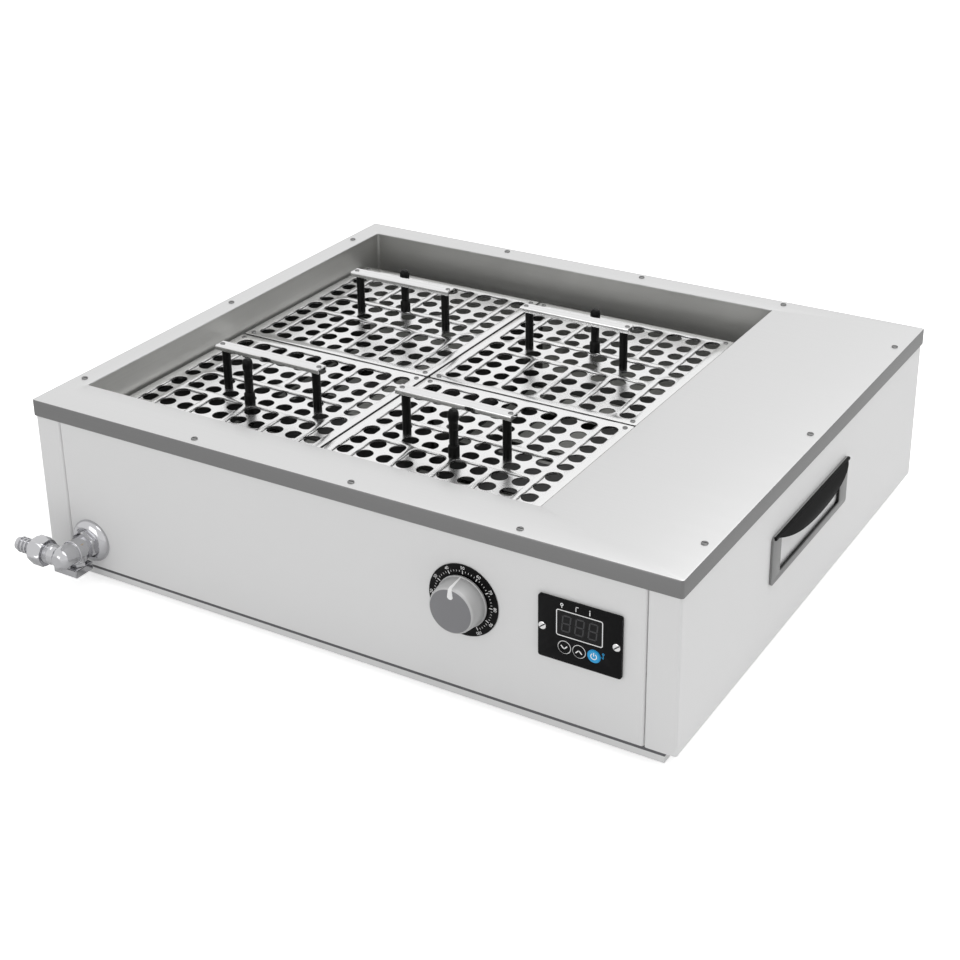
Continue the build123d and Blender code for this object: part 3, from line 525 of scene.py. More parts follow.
skirtLow, coverTop = coverLow.z, coverHigh.z
coverUnder = coverTop - cover["sheet"]
rimRings = []
for a in (0, pi / 6, pi / 3, pi / 2):
    rimRings.append(coverRing(cover["ease"] * (1 - cos(a)), coverTop - cover["ease"] * (1 - sin(a))))
hemRing = coverRing(cover["hem"], skirtLow)
outerSkirt = [hemRing, coverRing(0, skirtLow + cover["hem"])] + rimRings[:3]
topRings = rimRings[2:] + [wellRing(cover["wellEase"], coverTop)]
topRings += [wellRing(cover["lip"][0], coverTop - cover["lip"][1]), wellRing(0, coverUnder)]
innerRings = [wellRing(0, coverUnder), coverRing(cover["sheet"], coverUnder)]
innerRings += [coverRing(cover["sheet"], skirtLow), hemRing]
# slot 1 takes the darker copy of the cover steel: painted shade on the skirt
coverShell = joined([loft(outerSkirt, 1), loft(topRings, 0), loft(innerRings, 1)])
addPiece("coverShell", coverShell, [coverSteel, shadedSteel], "bath", ["top_cover"])

coverScrews = {
    "radius": 3.2, "height": 1.1, "slot": 0.5, "deep": 0.6, "sideX": 339.0, "sideY": (-236, 0, 236),
    "endY": 290.0, "endX": (-154, 23, 195), "slotShadeInset": 0.4, "slotShadeLow": 0.2, "slotShadeHigh": 0.56,
}
places = []
for sign in (-1, 1):
    places += [(sign * coverScrews["sideX"], middleY + y, coverTop) for y in coverScrews["sideY"]]
    places += [(x, middleY + sign * coverScrews["endY"], coverTop) for x in coverScrews["endX"]]
head = screwHead(coverScrews["radius"], coverScrews["height"], coverScrews["slot"], coverScrews["deep"])
# screw heads in the darker steel: painted shade
addRepeated("coverScrewHeads", head, places, shadedSteel)
# a black disc under each head fills the slot: painted shade in the screw slots
reach = coverScrews["radius"] - coverScrews["slotShadeInset"]
low, high = coverScrews["slotShadeLow"], coverScrews["slotShadeHigh"]
groove = turnedShape([(0, low), (reach, low), (reach, high), (0, high)], 20)
addRepeated("coverScrewGrooves", groove, places, blackMoulding)
print("cover ready")

# Racks: frame with windows, round-holed sheet, handle bar and pillars
rack = {
    "half": 120.0, "top": 155.0, "sheet": 1.0, "skirt": 8.0, "corner": 2.0, "ease": 0.15, "windowEase": 0.05,
    "pitch": 22.65, "count": 10, "holeRadius": 8.5, "holeSegments": 24, "plateLow": 152.3, "plateHalf": 118.7,
    "plateCorner": 0.4, "plateEase": 0.5, "seam": 0.02, "rimTop": 153.9, "rimSheet": 1.0,
    "screwRadius": 2.6, "screwHeight": 0.9, "screwSlot": 0.4, "screwDeep": 0.5, "cornerInset": 7.0,
}
bar = {
    "half": 64.6, "halfWidth": 7.0, "low": 197.5, "top": 202.5, "sheet": 1.5, "ease": 0.3, "crown": 1.0,
    "groove": 2.6,
}
post = {"radius": 4.4, "low": 152.0, "top": 200.95, "ease": 0.3, "easeTall": 0.35, "span": 5, "screwOut": 4.0}
knobPost = {
    "collar": [(0, 155), (5.4, 155), (5.6, 155.3), (5.6, 166.2), (5.0, 167.2), (4.2, 167.5)],
    "neck": [(3.9, 168.2), (4.4, 169.4)],
    "stem": [(4.5, 184.0), (4.2, 184.3), (4.2, 184.9), (4.5, 185.2), (4.5, 191.5)],
    "head": [(4.9, 192.6), (5.3, 194), (5.4, 198.6), (5.1, 201.4), (4.2, 203.6), (2.4, 204.8), (0, 205)],
}
# first post's place among the hole columns, and the side of the post with a head
rackPosts = {"rack_front_left": (2.5, -1), "rack_front_right": (1.5, -1),
             "rack_back_left": (2.5, 1), "rack_back_right": (1.5, 1)}
lastHole = rack["count"] - 1
halfCount = rack["count"] // 2


def holeAt(number):
    return (number - lastHole / 2) * rack["pitch"]


def windowLoop(window):
    reach = rack["holeRadius"]
    c0, c1, r0, r1 = window
    low = (holeAt(c0) - reach, holeAt(r0) - reach)
    high = (holeAt(c1) + reach, holeAt(r1) + reach)
    return rectLoop(*low, *high, reach - rack["windowEase"], 6)


windows = [(side, side, row, row + halfCount - 1) for side in (0, lastHole) for row in (0, halfCount)]
for column in range(1, lastHole, 2):
    windows += [(column, column + 1, row, row + halfCount - 2) for row in (0, halfCount + 1)]
windows.append((1, lastHole - 1, halfCount - 1, halfCount))
half, top, sheet = rack["half"], rack["top"], rack["sheet"]
frameLoop = rectLoop(-half, -half, half, half, rack["corner"])
frameTop = holedPlate(frameLoop, [windowLoop(w) for w in windows], top - sheet, top, rack["ease"])
skirtEnd = top - rack["skirt"]
skirtProfile = ((0.25, top - 0.25), (0, top - 0.6), (0, skirtEnd + 0.2), (0.2, skirtEnd),
                (sheet - 0.2, skirtEnd), (sheet, skirtEnd + 0.2), (sheet, top - 0.8), (0.25, top - 0.25))
skirtRings = []
for inset, z in skirtProfile:
    skirtRings.append(roundedRing(half - inset, half - inset, rack["corner"] - inset / 2, z, 4))
frameShape = joined([frameTop, loft(skirtRings)])

span = rack["pitch"] * lastHole / 1000
sheetShape = runTree("perforatedSheet", perforator, bpy.data.meshes.new("sheetHost"), **{
    "Columns": rack["count"], "Rows": rack["count"], "Pitch": rack["pitch"] / 1000,
    "Hole Radius": rack["holeRadius"] / 1000, "Segments": rack["holeSegments"],
    "Thickness": sheet / 1000, "Span X": span, "Span Y": span, "Material": plateSteel})
plateLow, plateHigh, plateHalf = rack["plateLow"], rack["plateLow"] + sheet, rack["plateHalf"]
gridEdge = rack["pitch"] * rack["count"] / 2 - rack["seam"]
sheetParts = [moved(sheetShape, at(0, 0, plateLow))]
for inner, outer, high in ((gridEdge, plateHalf - rack["plateEase"], plateHigh),
                           (plateHalf - rack["rimSheet"], plateHalf, rack["rimTop"])):
    levels = ((inner, plateLow), (outer, plateLow), (outer, high), (inner, high), (inner, plateLow))
    sheetParts.append(loft([roundedRing(reach, reach, rack["plateCorner"], z, 3) for reach, z in levels]))
sheetShape = joined(sheetParts)

wide, low, high, ease = bar["halfWidth"], bar["low"], bar["top"], bar["ease"]
barOuter = [(wide, low), (wide, high - bar["crown"]), (wide - ease, high - ease), (wide - bar["crown"], high)]
barOuter += [(bar["groove"], high), (bar["groove"] - ease, high - ease)]
barInner = [(wide - bar["sheet"], low), (wide - bar["sheet"], high - bar["sheet"])]
barProfile = [(-y, z) for y, z in barOuter] + barOuter[::-1] + barInner + [(-y, z) for y, z in barInner[::-1]]
barShape = loft([[(x, y, z) for y, z in barProfile] for x in (-bar["half"], bar["half"])], 0, True, True)

radius, low, high = post["radius"], post["low"], post["top"]
postProfile = [(0, low), (radius, low), (radius, high - post["easeTall"]), (radius - post["ease"], high)]
postShape = turnedShape(postProfile + [(0, high)], 32)
knobPostShape = turnedShape([point for part in knobPost.values() for point in part], 36)
rackHead = screwHead(rack["screwRadius"], rack["screwHeight"], rack["screwSlot"], rack["screwDeep"])
for name, (column, side) in rackPosts.items():
    x, y, _ = middleOf(name + "_frame")
    spot = at(x, y, 0)
    posts = [x + holeAt(column), x + holeAt(column + post["span"])]
    addPiece(name + "Frame", moved(frameShape, spot), [rackSteel], name, [name + "_frame"])
    addPiece(name + "Sheet", moved(sheetShape, spot), [plateSteel], name, [name + "_tube_plate"])
    barSpot = at(x + holeAt(column + post["span"] / 2), y, 0)
    addPiece(name + "Bar", moved(barShape, barSpot), [brightSteel], name, [name + "_handle_bar"])
    pillars = [moved(postShape, at(postX, y, 0)) for postX in posts]
    pillars.append(moved(knobPostShape, at(x, y + side * rack["pitch"], 0)))
    addPiece(name + "Posts", joined(pillars), [pillarBlack], name, [name + "_pillars"])
    grooveLevel = bar["top"] - bar["ease"]
    places = [(postX + way * post["screwOut"], y, grooveLevel) for postX, way in zip(posts, (-1, 1))]
    edge = half - rack["cornerInset"]
    places += [(x + sx * edge, y + sy * edge, top) for sx in (-1, 1) for sy in (-1, 1)]
    # screw heads in the darker steel: painted shade
    addRepeated(name + "Screws", rackHead, places, shadedSteel, name)
print("racks ready")

# Thermostat dial: scale plate, ticks and numbers
dial = {
    "radius": 35.0, "bore": 5.0, "thick": 1.5, "tickOuter": 29.6, "tickLong": (0.36, 3.4),
    "tickShort": (0.2, 1.7), "tickHigh": 0.04, "sink": 0.02, "labelRadius": 32.0, "labelSize": 4.3,
    "steps": 50, "longEvery": 5, "perStep": 2, "sweep": 300.0,
}
dialX, _, dialZ = middleOf("dial_knob")
face = frontAt(dialX, dialZ)
radius, thick, bore = dial["radius"], dial["thick"], dial["bore"]
plateProfile = [(bore, 0), (radius - 0.2, 0), (radius, 0.3), (radius, thick - 0.5), (radius - 0.5, thick)]
plateProfile.append((bore, thick))
addPiece("dialPlate", moved(turnedShape(plateProfile, 96), face), [dialBlack], "bath", ["dial_plate"])
prints = []
for step in range(dial["steps"] + 1):
    swing = Matrix.Rotation(radians(dial["sweep"] / 2 - dial["sweep"] * step / dial["steps"]), 4, "Z")
    isLong = step % dial["longEvery"] == 0
    width, length = dial["tickLong"] if isLong else dial["tickShort"]
    tickLow = (-width, dial["tickOuter"] - length, thick - dial["sink"])
    tick = slab(tickLow, (width, dial["tickOuter"], thick + dial["tickHigh"]), 0.1, 0, 1)
    prints.append(moved(tick, swing))
    if isLong:
        label = wordShape(str(step * dial["perStep"]), dial["labelSize"])
        prints.append(moved(moved(label, at(0, dial["labelRadius"], thick + dial["sink"])), swing))
addPiece("dialScale", moved(joined(prints), face), [whitePrint])

# Knob with a flat face, a tapering side and a white pointer
knob = {
    "gap": 2.3, "bore": 3.1, "skirtRadius": 25.0, "skirt": 2.0, "taper": [(24.4, 2.6), (22.5, 17.6)],
    "crown": [(22.0, 18.9), (21.4, 19.6), (20.8, 19.98), (20.2, 19.98)], "inner": 19.5,
    "face": [(0, 19.6), (20.5, 19.6), (20.9, 19.9), (20.5, 20.05), (0, 20.05)],
}
pointer = {
    "dotRadius": 2.9, "dotAt": 14.6, "dotSweep": (1.08, 1.92), "dotSteps": 12, "low": 19.7, "high": 20.35,
    "neck": [(2.2, 18.5), (1.75, 21.0)], "bandDrop": (0.8, 0.5),
    "band": [(1.8, 20.6, 20.35), (1.6, 21.9, 19.9), (1.5, 22.75, 18.4), (0.5, 24.9, 2.0)],
}
knobSpot = frontAt(dialX, dialZ, knob["gap"])
radius = knob["skirtRadius"]
knobProfile = [(knob["bore"], 0), (radius - 0.4, 0), (radius, 0.4), (radius, knob["skirt"])]
knobProfile += knob["taper"] + knob["crown"] + [(knob["bore"], knob["inner"])]
addPiece("knobSide", moved(turnedShape(knobProfile, 96), knobSpot), [knobRim], "dial", ["dial_knob"])
addPiece("knobFace", moved(turnedShape(knob["face"], 96), knobSpot), [knobGrey], "dial")
sweepFrom, sweepTo = pointer["dotSweep"]
steps = pointer["dotSteps"]
angles = [pi * (sweepFrom + (sweepTo - sweepFrom) * k / steps) for k in range(steps + 1)]
outline = [(pointer["dotRadius"] * cos(a), pointer["dotAt"] + pointer["dotRadius"] * sin(a)) for a in angles]
outline += pointer["neck"] + [(-x, y) for x, y in pointer["neck"][::-1]]
back, drop = pointer["bandDrop"]
band = []
for wide, y, z in pointer["band"]:
    band.append([(-wide, y, z), (wide, y, z), (wide, y - back, z - drop), (-wide, y - back, z - drop)])
pointerShape = joined([prism(outline, pointer["low"], pointer["high"]), loft(band, 0, True, True)])
addPiece("knobPointer", moved(pointerShape, knobSpot), [whitePrint], "dial", ["knob_pointer"])
print("dial ready")

# Controller face: border, digits, key rings, signs and two screws
panel = {
    "width": 79.0, "tall": 60.0, "thick": 3.0, "corner": 2.2, "ease": 0.25,
    "display": (-21.5, -4.25, 21.5, 20.25), "paneGap": 0.05, "paneLow": 0.1, "paneTop": 2.75,
    "border": (-21.6, -4.3, 21.6, 20.3), "borderCorners": (2.2, 1.5), "stroke": 0.85,
    "keyX": (-14.0, 0.0, 14.0), "keyY": -15.0, "keyHole": 5.7, "keyRing": (6.3, 5.65), "inset": 0.01,
}
icons = {
    "lamp": (1.5, 0.75, -16.7, 25.8), "dot": (0.6, 0.2, 9.6, 27.2), "tinyRing": (1.1, 0.55, 22.6, -10.6),
    "white": [(-16.7, 24.2, -16.7, 22.9, 0.7), (-3.4, 22.9, -3.4, 27.2, 0.6), (-3.4, 27.2, -1.2, 27.2, 0.6),
              (9.6, 23.0, 9.6, 25.6, 0.9)],
    "blue": [(22.6, -12.2, 22.6, -15.2, 0.6), (22.6, -15.2, 21.3, -13.9, 0.5)],
}
panelX, _, panelZ = middleOf("controller_fascia")
desk = frontAt(panelX, panelZ)
top, keyX, keyY = panel["thick"], panel["keyX"], panel["keyY"]
wide, tall = panel["width"] / 2, panel["tall"] / 2
holes = [rectLoop(*panel["display"])] + [circleLoop(panel["keyHole"], 32, x, keyY) for x in keyX]
facePlate = holedPlate(rectLoop(-wide, -tall, wide, tall, panel["corner"]), holes, 0, top, panel["ease"])
addPiece("controllerFace", moved(facePlate, desk), [fasciaBlack], "bath", ["controller_fascia"])
x0, y0, x1, y1 = panel["display"]
gap = panel["paneGap"]
glass = slab((x0 + gap, y0 + gap, panel["paneLow"]), (x1 - gap, y1 - gap, panel["paneTop"]), 0.4, 0.2)
addPiece("displayPane", moved(glass, desk), [displayGlass], "bath", ["display_window"])

x0, y0, x1, y1 = panel["border"]
s = panel["stroke"] / 2
printLevel = top - panel["inset"]
borderOuter = rectLoop(x0 - s, y0 - s, x1 + s, y1 + s, panel["borderCorners"][0])
borderInner = rectLoop(x0 + s, y0 + s, x1 - s, y1 - s, panel["borderCorners"][1])
prints = [flatRing(borderOuter, borderInner, printLevel)]
prints += [circleRing(*panel["keyRing"], x, keyY, printLevel, 40) for x in keyX[:2]]
prints += [circleRing(*icons["lamp"], top, 20), circleRing(*icons["dot"], top, 12)]
prints += [stroke(*line, top) for line in icons["white"]]
addPiece("controllerPrints", moved(joined(prints), desk), [whitePrint])
blueSigns = [circleRing(*panel["keyRing"], keyX[2], keyY, printLevel, 40)]
blueSigns.append(circleRing(*icons["tinyRing"], top, 16))
blueSigns += [stroke(*line, top) for line in icons["blue"]]
addPiece("controllerBlue", moved(joined(blueSigns), desk), [keyBlue])

# Seven strokes for each of three unlit digits
digit = {
    "pitch": 12.6, "width": 7.4, "half": 7.6, "middle": 8.0, "stroke": 1.35, "gap": 1.1, "slant": 0.1,
    "level": 2.76, "thick": 0.05,
}
w, h = digit["width"] / 2, digit["half"]
digitLines = [(-w, y, w, y) for y in (h, 0, -h)]
digitLines += [(x, y, x, y + h) for y in (0, -h) for x in (-w, w)]
segments = []
for middle in (-digit["pitch"], 0.0, digit["pitch"]):
    for x0, y0, x1, y1 in digitLines:
        gapX, gapY = (digit["gap"], 0) if y0 == y1 else (0, digit["gap"])
        ends = [(x0 + gapX, y0 + gapY), (x1 - gapX, y1 - gapY)]
        leaned = [(middle + x + digit["slant"] * y, digit["middle"] + y) for x, y in ends]
        segments.append(stroke(*leaned[0], *leaned[1], digit["stroke"], digit["level"], digit["thick"]))
addPiece("displayDigits", moved(joined(segments), desk), [segmentDark])

panelScrews = {
    "x": 35.0, "z": 0.4, "radius": 3.6, "height": 1.2, "slot": 0.55, "deep": 0.7, "turn": 0.7,
    "dark": (3.3, 0.5), "darkLow": 0.45, "darkHigh": 0.56,
}
screwX, screwZ = panelScrews["x"], panelZ + panelScrews["z"]
screwPlaces = [(panelX + sign * screwX, frontY - top, screwZ) for sign in (-1, 1)]
screwTurn = Matrix.Rotation(pi / 2, 4, "X") @ Matrix.Rotation(panelScrews["turn"], 4, "Z")
head = screwHead(panelScrews["radius"], panelScrews["height"], panelScrews["slot"], panelScrews["deep"])
addRepeated("controllerScrews", moved(head, screwTurn), screwPlaces, brightSteel)
# a black block in each slot: painted shade in the screw slots
x, y = panelScrews["dark"]
slotShadeBox = slab((-x, -y, panelScrews["darkLow"]), (x, y, panelScrews["darkHigh"]), 0.2)
addRepeated("controllerSlots", moved(slotShadeBox, screwTurn), screwPlaces, blackMoulding)

# Signs on the three keys: down, up and power
keySign = {
    "level": 3.59, "stroke": 1.1, "reach": 2.6, "rise": 1.3, "point": 1.4, "arcRadius": 2.7, "arcHalf": 0.42,
    "arcGap": 0.55, "arcSteps": 24, "arcThick": 0.06, "bar": (0, 0.6, 0, 3.2, 0.85),
}
level = keySign["level"]
for name, body, x, way in (("keyDownSign", "down_key", keyX[0], 1), ("keyUpSign", "up_key", keyX[1], -1)):
    left = (-keySign["reach"], way * keySign["rise"])
    right = (keySign["reach"], way * keySign["rise"])
    tip = (0, -way * keySign["point"])
    chevron = [stroke(*left, *tip, keySign["stroke"], level), stroke(*tip, *right, keySign["stroke"], level)]
    addPiece(name, moved(joined(chevron), desk @ at(x, keyY, 0)), [whitePrint], body)
gap, steps, arcTop = keySign["arcGap"], keySign["arcSteps"], level + keySign["arcThick"]
nearer, farther = keySign["arcRadius"] - keySign["arcHalf"], keySign["arcRadius"] + keySign["arcHalf"]
section = ((nearer, level), (farther, level), (farther, arcTop), (nearer, arcTop))
arc = []
for k in range(steps + 1):
    a = pi / 2 + gap + (2 * pi - 2 * gap) * k / steps
    arc.append([(radius * cos(a), radius * sin(a), z) for radius, z in section])
powerSign = joined([loft(arc, 0, True, True), stroke(*keySign["bar"], level)])
addPiece("keyPowerSign", moved(powerSign, desk @ at(keyX[2], keyY, 0)), [whitePrint], "power_key")
print("controller ready")

# Drain valve: domed cover ring, body with a rounded elbow, union nut, hose end, lever and its nut
valve = {
    "dome": [(12.3, 0), (22.3, 0), (22.5, 0.5), (22.3, 2.0), (21.2, 4.2), (19.6, 6.0), (17.4, 7.4),
             (15.2, 8.0), (12.3, 8.0)],
    "neck": [(0, 7.4), (11, 7.4), (11, 29), (0, 29)],
    "ring": [(0, 26.8), (11.9, 26.8), (12.4, 27.3), (12.4, 28.9), (11.9, 29.4), (0, 29.4)],
    "elbow": [(0, 29), (11.0, 29), (11.2, 30), (11.2, 44.5), (10.6, 46.8), (7.2, 50.6), (6.4, 51.2),
              (0, 51.4)],
    "hexFlats": 26.0, "hexLow": 8.0, "hexHigh": 14.0, "hexChamfer": 1.2, "elbowAt": 41.0,
    "tail": [(0, 4), (9.6, 4), (9.6, 11), (10.3, 12), (10.3, 14), (9.6, 15), (9.6, 28.9), (0, 28.9)],
    "threads": 4, "threadAt": 15.4, "threadPitch": 1.2, "thread": [(9.2, 0), (10.1, 0.5), (9.2, 1.0)],
    "bossAt": 22.0, "boss": [(0, 4), (9.5, 4), (9.5, 11.2), (8.9, 11.95), (0, 11.95)],
    "nutAt": 20.0, "nutFlats": 26.0, "nutLength": 16.0, "nutChamfer": 1.6, "nutSteps": 72,
    "hoseRadius": 6.6, "hoseStart": 15.0, "hoseBore": 4.5, "hoseEnd": 39.0, "boreDeep": 9.0,
    "ribs": 4, "ribPitch": 4.6, "ribStart": 19.5, "rib": [(8.0, 0.2), (8.0, 1.1), (6.7, 4.3)],
}
lever = {
    "plateLow": 28.6, "plateHigh": 30.2, "skirtHigh": 30.0, "sheet": 1.6, "corner": 1.6, "nutFlats": 8.0,
    "nutLow": 27.0, "nutChamfer": 0.6,
}
drainX, _, drainZ = middleOf("drain_escutcheon")
drainSpot = frontAt(drainX, drainZ)


def hexNut(flats, low, high, chamferBy):
    # six-sided bar along Z with its corners turned down at both ends
    rings = []
    for z, limit in ((low, -chamferBy), (low + chamferBy, 0), (high - chamferBy, 0), (high, -chamferBy)):
        ring = []
        for k in range(valve["nutSteps"]):
            a = 2 * pi * k / valve["nutSteps"]
            reach = flats / 2 / cos((a + pi / 6) % (pi / 3) - pi / 6)
            reach = min(reach, flats / sqrt(3) + limit)
            ring.append((reach * cos(a), reach * sin(a), z))
        rings.append(ring)
    return loft(rings, 0, True, True)


domeShape = moved(turnedShape(valve["dome"], 64), drainSpot)
addPiece("drainDome", domeShape, [chrome], "bath", ["drain_escutcheon"])
tailTurn = drainSpot @ at(0, 0, valve["elbowAt"]) @ Matrix.Rotation(-pi / 2, 4, "Y")
bodyParts = [moved(turnedShape(valve[name], 48), drainSpot) for name in ("neck", "ring", "elbow")]
collar = hexNut(valve["hexFlats"], valve["hexLow"], valve["hexHigh"], valve["hexChamfer"])
bodyParts.append(moved(collar, drainSpot))
bodyParts.append(moved(turnedShape(valve["tail"], 48), tailTurn))
for k in range(valve["threads"]):
    thread = [(r, valve["threadAt"] + valve["threadPitch"] * k + z) for r, z in valve["thread"]]
    bodyParts.append(moved(turnedShape(thread, 40), tailTurn))
bossTurn = drainSpot @ at(0, 0, valve["bossAt"]) @ Matrix.Rotation(pi / 2, 4, "X")
bodyParts.append(moved(turnedShape(valve["boss"], 40), bossTurn))
addPiece("drainBody", joined(bodyParts), [chrome], "bath", ["drain_valve_body"])

nutSpot = tailTurn @ at(0, 0, valve["nutAt"])
unionNut = hexNut(valve["nutFlats"], 0, valve["nutLength"], valve["nutChamfer"])
nutTurn = nutSpot @ Matrix.Rotation(pi / 6, 4, "Z")
addPiece("drainUnionNut", moved(unionNut, nutTurn), [chrome], "bath", ["drain_union_nut"])
radius, bore, start, end = valve["hoseRadius"], valve["hoseBore"], valve["hoseStart"], valve["hoseEnd"]
hose = [(0, start), (radius, start), (radius, valve["ribStart"])]
for k in range(valve["ribs"]):
    hose += [(r, valve["ribStart"] + valve["ribPitch"] * k + z) for r, z in valve["rib"]]
hose += [(radius, end - 0.1), (bore, end), (bore, end - valve["boreDeep"]), (0, end - valve["boreDeep"])]
addPiece("drainHoseEnd", moved(turnedShape(hose, 48), nutSpot), [chrome], "bath", ["drain_hose_barb"])

low, high = boxOf("drain_lever")
sheet, skirtHigh = lever["sheet"], lever["skirtHigh"]
leverParts = [
    slab((low.x, low.y, lever["plateLow"]), (high.x, high.y, lever["plateHigh"]), lever["corner"], 0.4),
    slab((low.x, low.y, low.z), (high.x, low.y + sheet, skirtHigh), 0.6, 0.3),
    slab((high.x - sheet, low.y, low.z), (high.x, high.y, skirtHigh), 0.6, 0.3),
]
addPiece("drainLever", joined(leverParts), [chrome], "drain_cock", ["drain_lever"])
stemNut = hexNut(lever["nutFlats"], lever["nutLow"], lever["plateLow"], lever["nutChamfer"])
addPiece("drainStemNut", moved(stemNut, at(drainX, frontY - valve["bossAt"], 0)), [chrome], "drain_cock")
print("drain ready")

# Side handles: grey frame, bowed grip, a black ring round the window as a painted shadow line, and a light
# lining in the window
handle = {
    "halfLength": 95.0, "halfTall": 25.0, "plate": 2.5, "corner": 4.0, "ease": 0.5, "window": (75.5, 18.0),
    "windowCorner": 2.0, "shadeLineOuter": (-75.4, -17.9, 75.4, 17.9, 1.8),
    "shadeLineInner": (-74.2, -16.6, 74.2, 16.9, 1.4), "shadeLineLow": 0.3, "shadeLineThick": 1.6,
    "lining": (75.2, 17.8), "liningLow": -1.8, "liningHigh": -1.0, "liningCorner": 1.4,
}
grip = {
    "span": 93.5, "top": 24.6, "drop": 14.5, "stand": 12.0, "sheet": 2.2, "lower": 0.3, "sink": 0.1,
    "columns": 60, "rows": 8, "ridgeDown": 3.0, "ridgeUp": 0.3, "ridgeLow": 1.0, "ridgeHigh": 4.6,
}
bowRadius = (grip["drop"] ** 2 + grip["stand"] ** 2) / (2 * grip["stand"])
edgeRadius = (grip["drop"] ** 2 + grip["span"] ** 2) / (2 * grip["drop"])


def gripBow():
    # upright sections from end to end; each bows out along a circle, and another circle cuts them below
    rings = []
    for k in range(grip["columns"] + 1):
        x = (grip["span"] - grip["sink"]) * (2 * k / grip["columns"] - 1)
        drop = sqrt(edgeRadius ** 2 - x * x) - (edgeRadius - grip["drop"])
        outer, inner = [], []
        for r in range(grip["rows"] + 1):
            below = drop * r / grip["rows"]
            level = grip["top"] - below
            stand = sqrt(bowRadius ** 2 - (grip["drop"] - below) ** 2) - (bowRadius - grip["stand"])
            outer.append((x, level, max(stand, handle["plate"])))
            back = max(stand - grip["sheet"], handle["plate"] - grip["sink"])
            inner.append((x, level - grip["lower"], back))
        rings.append(outer + inner[::-1])
    return loft(rings, 0, True, True)


_, handleY, handleZ = middleOf("right_handle_frame")
for sideName, sign in (("right", 1), ("left", -1)):
    spot = sideAt(sign, handleY, handleZ)
    x, y = handle["window"]
    window = rectLoop(-x, -y, x, y, handle["windowCorner"])
    x, y = handle["halfLength"], handle["halfTall"]
    plate = holedPlate(rectLoop(-x, -y, x, y, handle["corner"]), [window], 0, handle["plate"], handle["ease"])
    addPiece(sideName + "HandleFrame", moved(plate, spot), [frameGrey], "bath", [sideName + "_handle_frame"])
    ridgeLow = (-grip["span"], grip["top"] - grip["ridgeDown"], grip["ridgeLow"])
    ridgeHigh = (grip["span"], grip["top"] + grip["ridgeUp"], grip["ridgeHigh"])
    gripShape = moved(joined([gripBow(), slab(ridgeLow, ridgeHigh, 1.2, 0.7)]), spot)
    addPiece(sideName + "HandleGrip", gripShape, [gripBlack], "bath", [sideName + "_handle_grip"])
    # black ring round the window edge: painted shadow line
    shadeLineLoops = [rectLoop(*handle[name]) for name in ("shadeLineOuter", "shadeLineInner")]
    lip = flatRing(*shadeLineLoops, handle["shadeLineLow"], handle["shadeLineThick"])
    addPiece(sideName + "HandleLip", moved(lip, spot), [blackMoulding])
    x, y = handle["lining"]
    lining = slab((-x, -y, handle["liningLow"]), (x, y, handle["liningHigh"]), handle["liningCorner"], 0.1)
    addPiece(sideName + "HandleLining", moved(lining, spot), [casingPaint])
print("handles ready")

# Dark band round the plinth under the panels' lower edge: painted shadow
underPanelShade = {"low": 13.0, "high": 18.0, "stand": 0.25, "sink": 0.05}
trayLow, trayHigh = boxOf("base_tray")
trayX, trayY = (trayHigh.x - trayLow.x) / 2, (trayHigh.y - trayLow.y) / 2
low, high, sink, stand = underPanelShade["low"], underPanelShade["high"], underPanelShade["sink"], underPanelShade["stand"]
underPanelRings = []
for out, z in ((sink, low), (stand, low), (stand, high), (sink, high), (sink, low)):
    underPanelRings.append(roundedRing(trayX + out, trayY + out, 0.3, z, 2, 0, middleY))
addPiece("plinthGroove", loft(underPanelRings), [zincSheet])

# Feet
foot = {"radius": 11.0, "taper": 1.5, "ease": 0.4, "height": 6.0, "x": 305.0, "y": 255.0}
narrow = foot["radius"] - foot["taper"]
footProfile = [(0, 0), (narrow - foot["ease"], 0), (narrow, foot["ease"]), (foot["radius"], foot["height"])]
footShape = turnedShape(footProfile + [(0, foot["height"])], 32)
places = [(sx * foot["x"], middleY + sy * foot["y"], 0) for sx in (-1, 1) for sy in (-1, 1)]
addRepeated("feet", footShape, places, rubberBlack, "bath", ["rubber_feet"])
print("plinth and feet ready")

# Floor, background and lights
studio = {
    "floorSize": 12.0, "floorShade": 0.97, "floorGlow": 0.62, "ambient": 0.5, "aim": (0, 0, 0.1),
    "lights": {  # place, size and power
        "topLight": ((0.9, 0.6, 2.6), 2.6, 45.0),
        "frontLight": ((-0.6, -3.2, 1.5), 2.2, 20.0),
        "sideLight": ((3.2, -0.8, 1.3), 2.2, 0.5),
    },
}
half = studio["floorSize"] / 2
floorMesh = bpy.data.meshes.new("floor")
floorMesh.from_pydata([(x, y, 0) for x, y in rectLoop(-half, -half, half, half)], [], [(0, 1, 2, 3)])
floorPaint = newMaterial("floorPaint", (studio["floorShade"],) * 3, 0.0, 0.9, Specular_IOR_Level=0.0)
floorShader = shaderOf(floorPaint)
floorShader.inputs["Emission Color"].default_value = (1, 1, 1, 1)
path = floorPaint.node_tree.nodes.new("ShaderNodeLightPath")
gain = floorPaint.node_tree.nodes.new("ShaderNodeMath")
gain.operation = "MULTIPLY"
gain.inputs[1].default_value = studio["floorGlow"]
linkAll(floorPaint.node_tree, (path, "Is Camera Ray", gain, 0), (gain, 0, floorShader, "Emission Strength"))
floorMesh.materials.append(floorPaint)
newObject("floor", floorMesh)

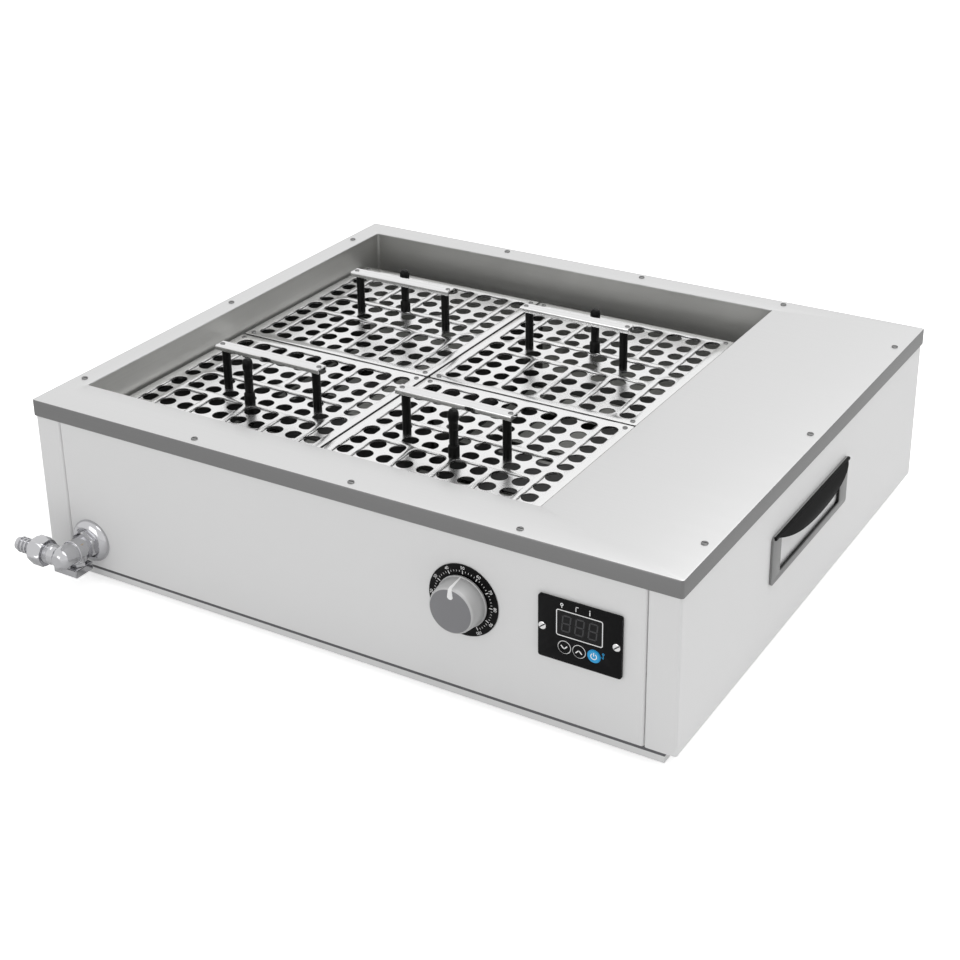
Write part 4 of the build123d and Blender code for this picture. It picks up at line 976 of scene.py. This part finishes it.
world = bpy.data.worlds.new("studio")
bpy.context.scene.world = world
world.use_nodes = True
tree = world.node_tree
tree.nodes.clear()
seen = tree.nodes.new("ShaderNodeBackground")
glow = tree.nodes.new("ShaderNodeBackground")
for background, strength in ((seen, 1.0), (glow, studio["ambient"])):
    background.inputs["Color"].default_value = (1, 1, 1, 1)
    background.inputs["Strength"].default_value = strength
path = tree.nodes.new("ShaderNodeLightPath")
either = tree.nodes.new("ShaderNodeMath")
either.operation = "MAXIMUM"
mixer = tree.nodes.new("ShaderNodeMixShader")
output = tree.nodes.new("ShaderNodeOutputWorld")
linkAll(tree, (path, "Is Camera Ray", either, 0), (path, "Is Glossy Ray", either, 1), (either, 0, mixer, 0),
        (glow, 0, mixer, 1), (seen, 0, mixer, 2), (mixer, 0, output, "Surface"))

for name, (place, size, power) in studio["lights"].items():
    lamp = bpy.data.lights.new(name, "AREA")
    lamp.shape = "SQUARE"
    lamp.size = size
    lamp.energy = power
    holder = newObject(name, lamp)
    holder.location = place
    holder.rotation_euler = (Vector(studio["aim"]) - Vector(place)).to_track_quat("-Z", "Y").to_euler()

# Camera, as fitted to the picture
view = {
    "place": (0.84553, -1.39776, 0.91145), "target": (-0.01792, 0.02575, 0.18687), "lens": 66.605,
    "sensor": 36.0, "roll": -0.0133515, "shiftY": -0.125, "farthest": 50.0,
}
lensData = bpy.data.cameras.new("camera")
lensData.lens = view["lens"]
lensData.sensor_width = view["sensor"]
lensData.shift_y = view["shiftY"]
lensData.clip_end = view["farthest"]
camera = newObject("camera", lensData)
forward = (Vector(view["target"]) - Vector(view["place"])).normalized()
right = forward.cross(Vector((0, 0, 1))).normalized()
up = right.cross(forward)
rolledRight = right * cos(view["roll"]) + up * sin(view["roll"])
rolledUp = up * cos(view["roll"]) - right * sin(view["roll"])
turn = Matrix((rolledRight, rolledUp, -forward)).transposed().to_4x4()
camera.matrix_world = Matrix.Translation(view["place"]) @ turn
bpy.context.scene.camera = camera
bpy.context.scene.view_settings.view_transform = "Standard"
print("camera and lights ready")

bpy.context.view_layer.update()
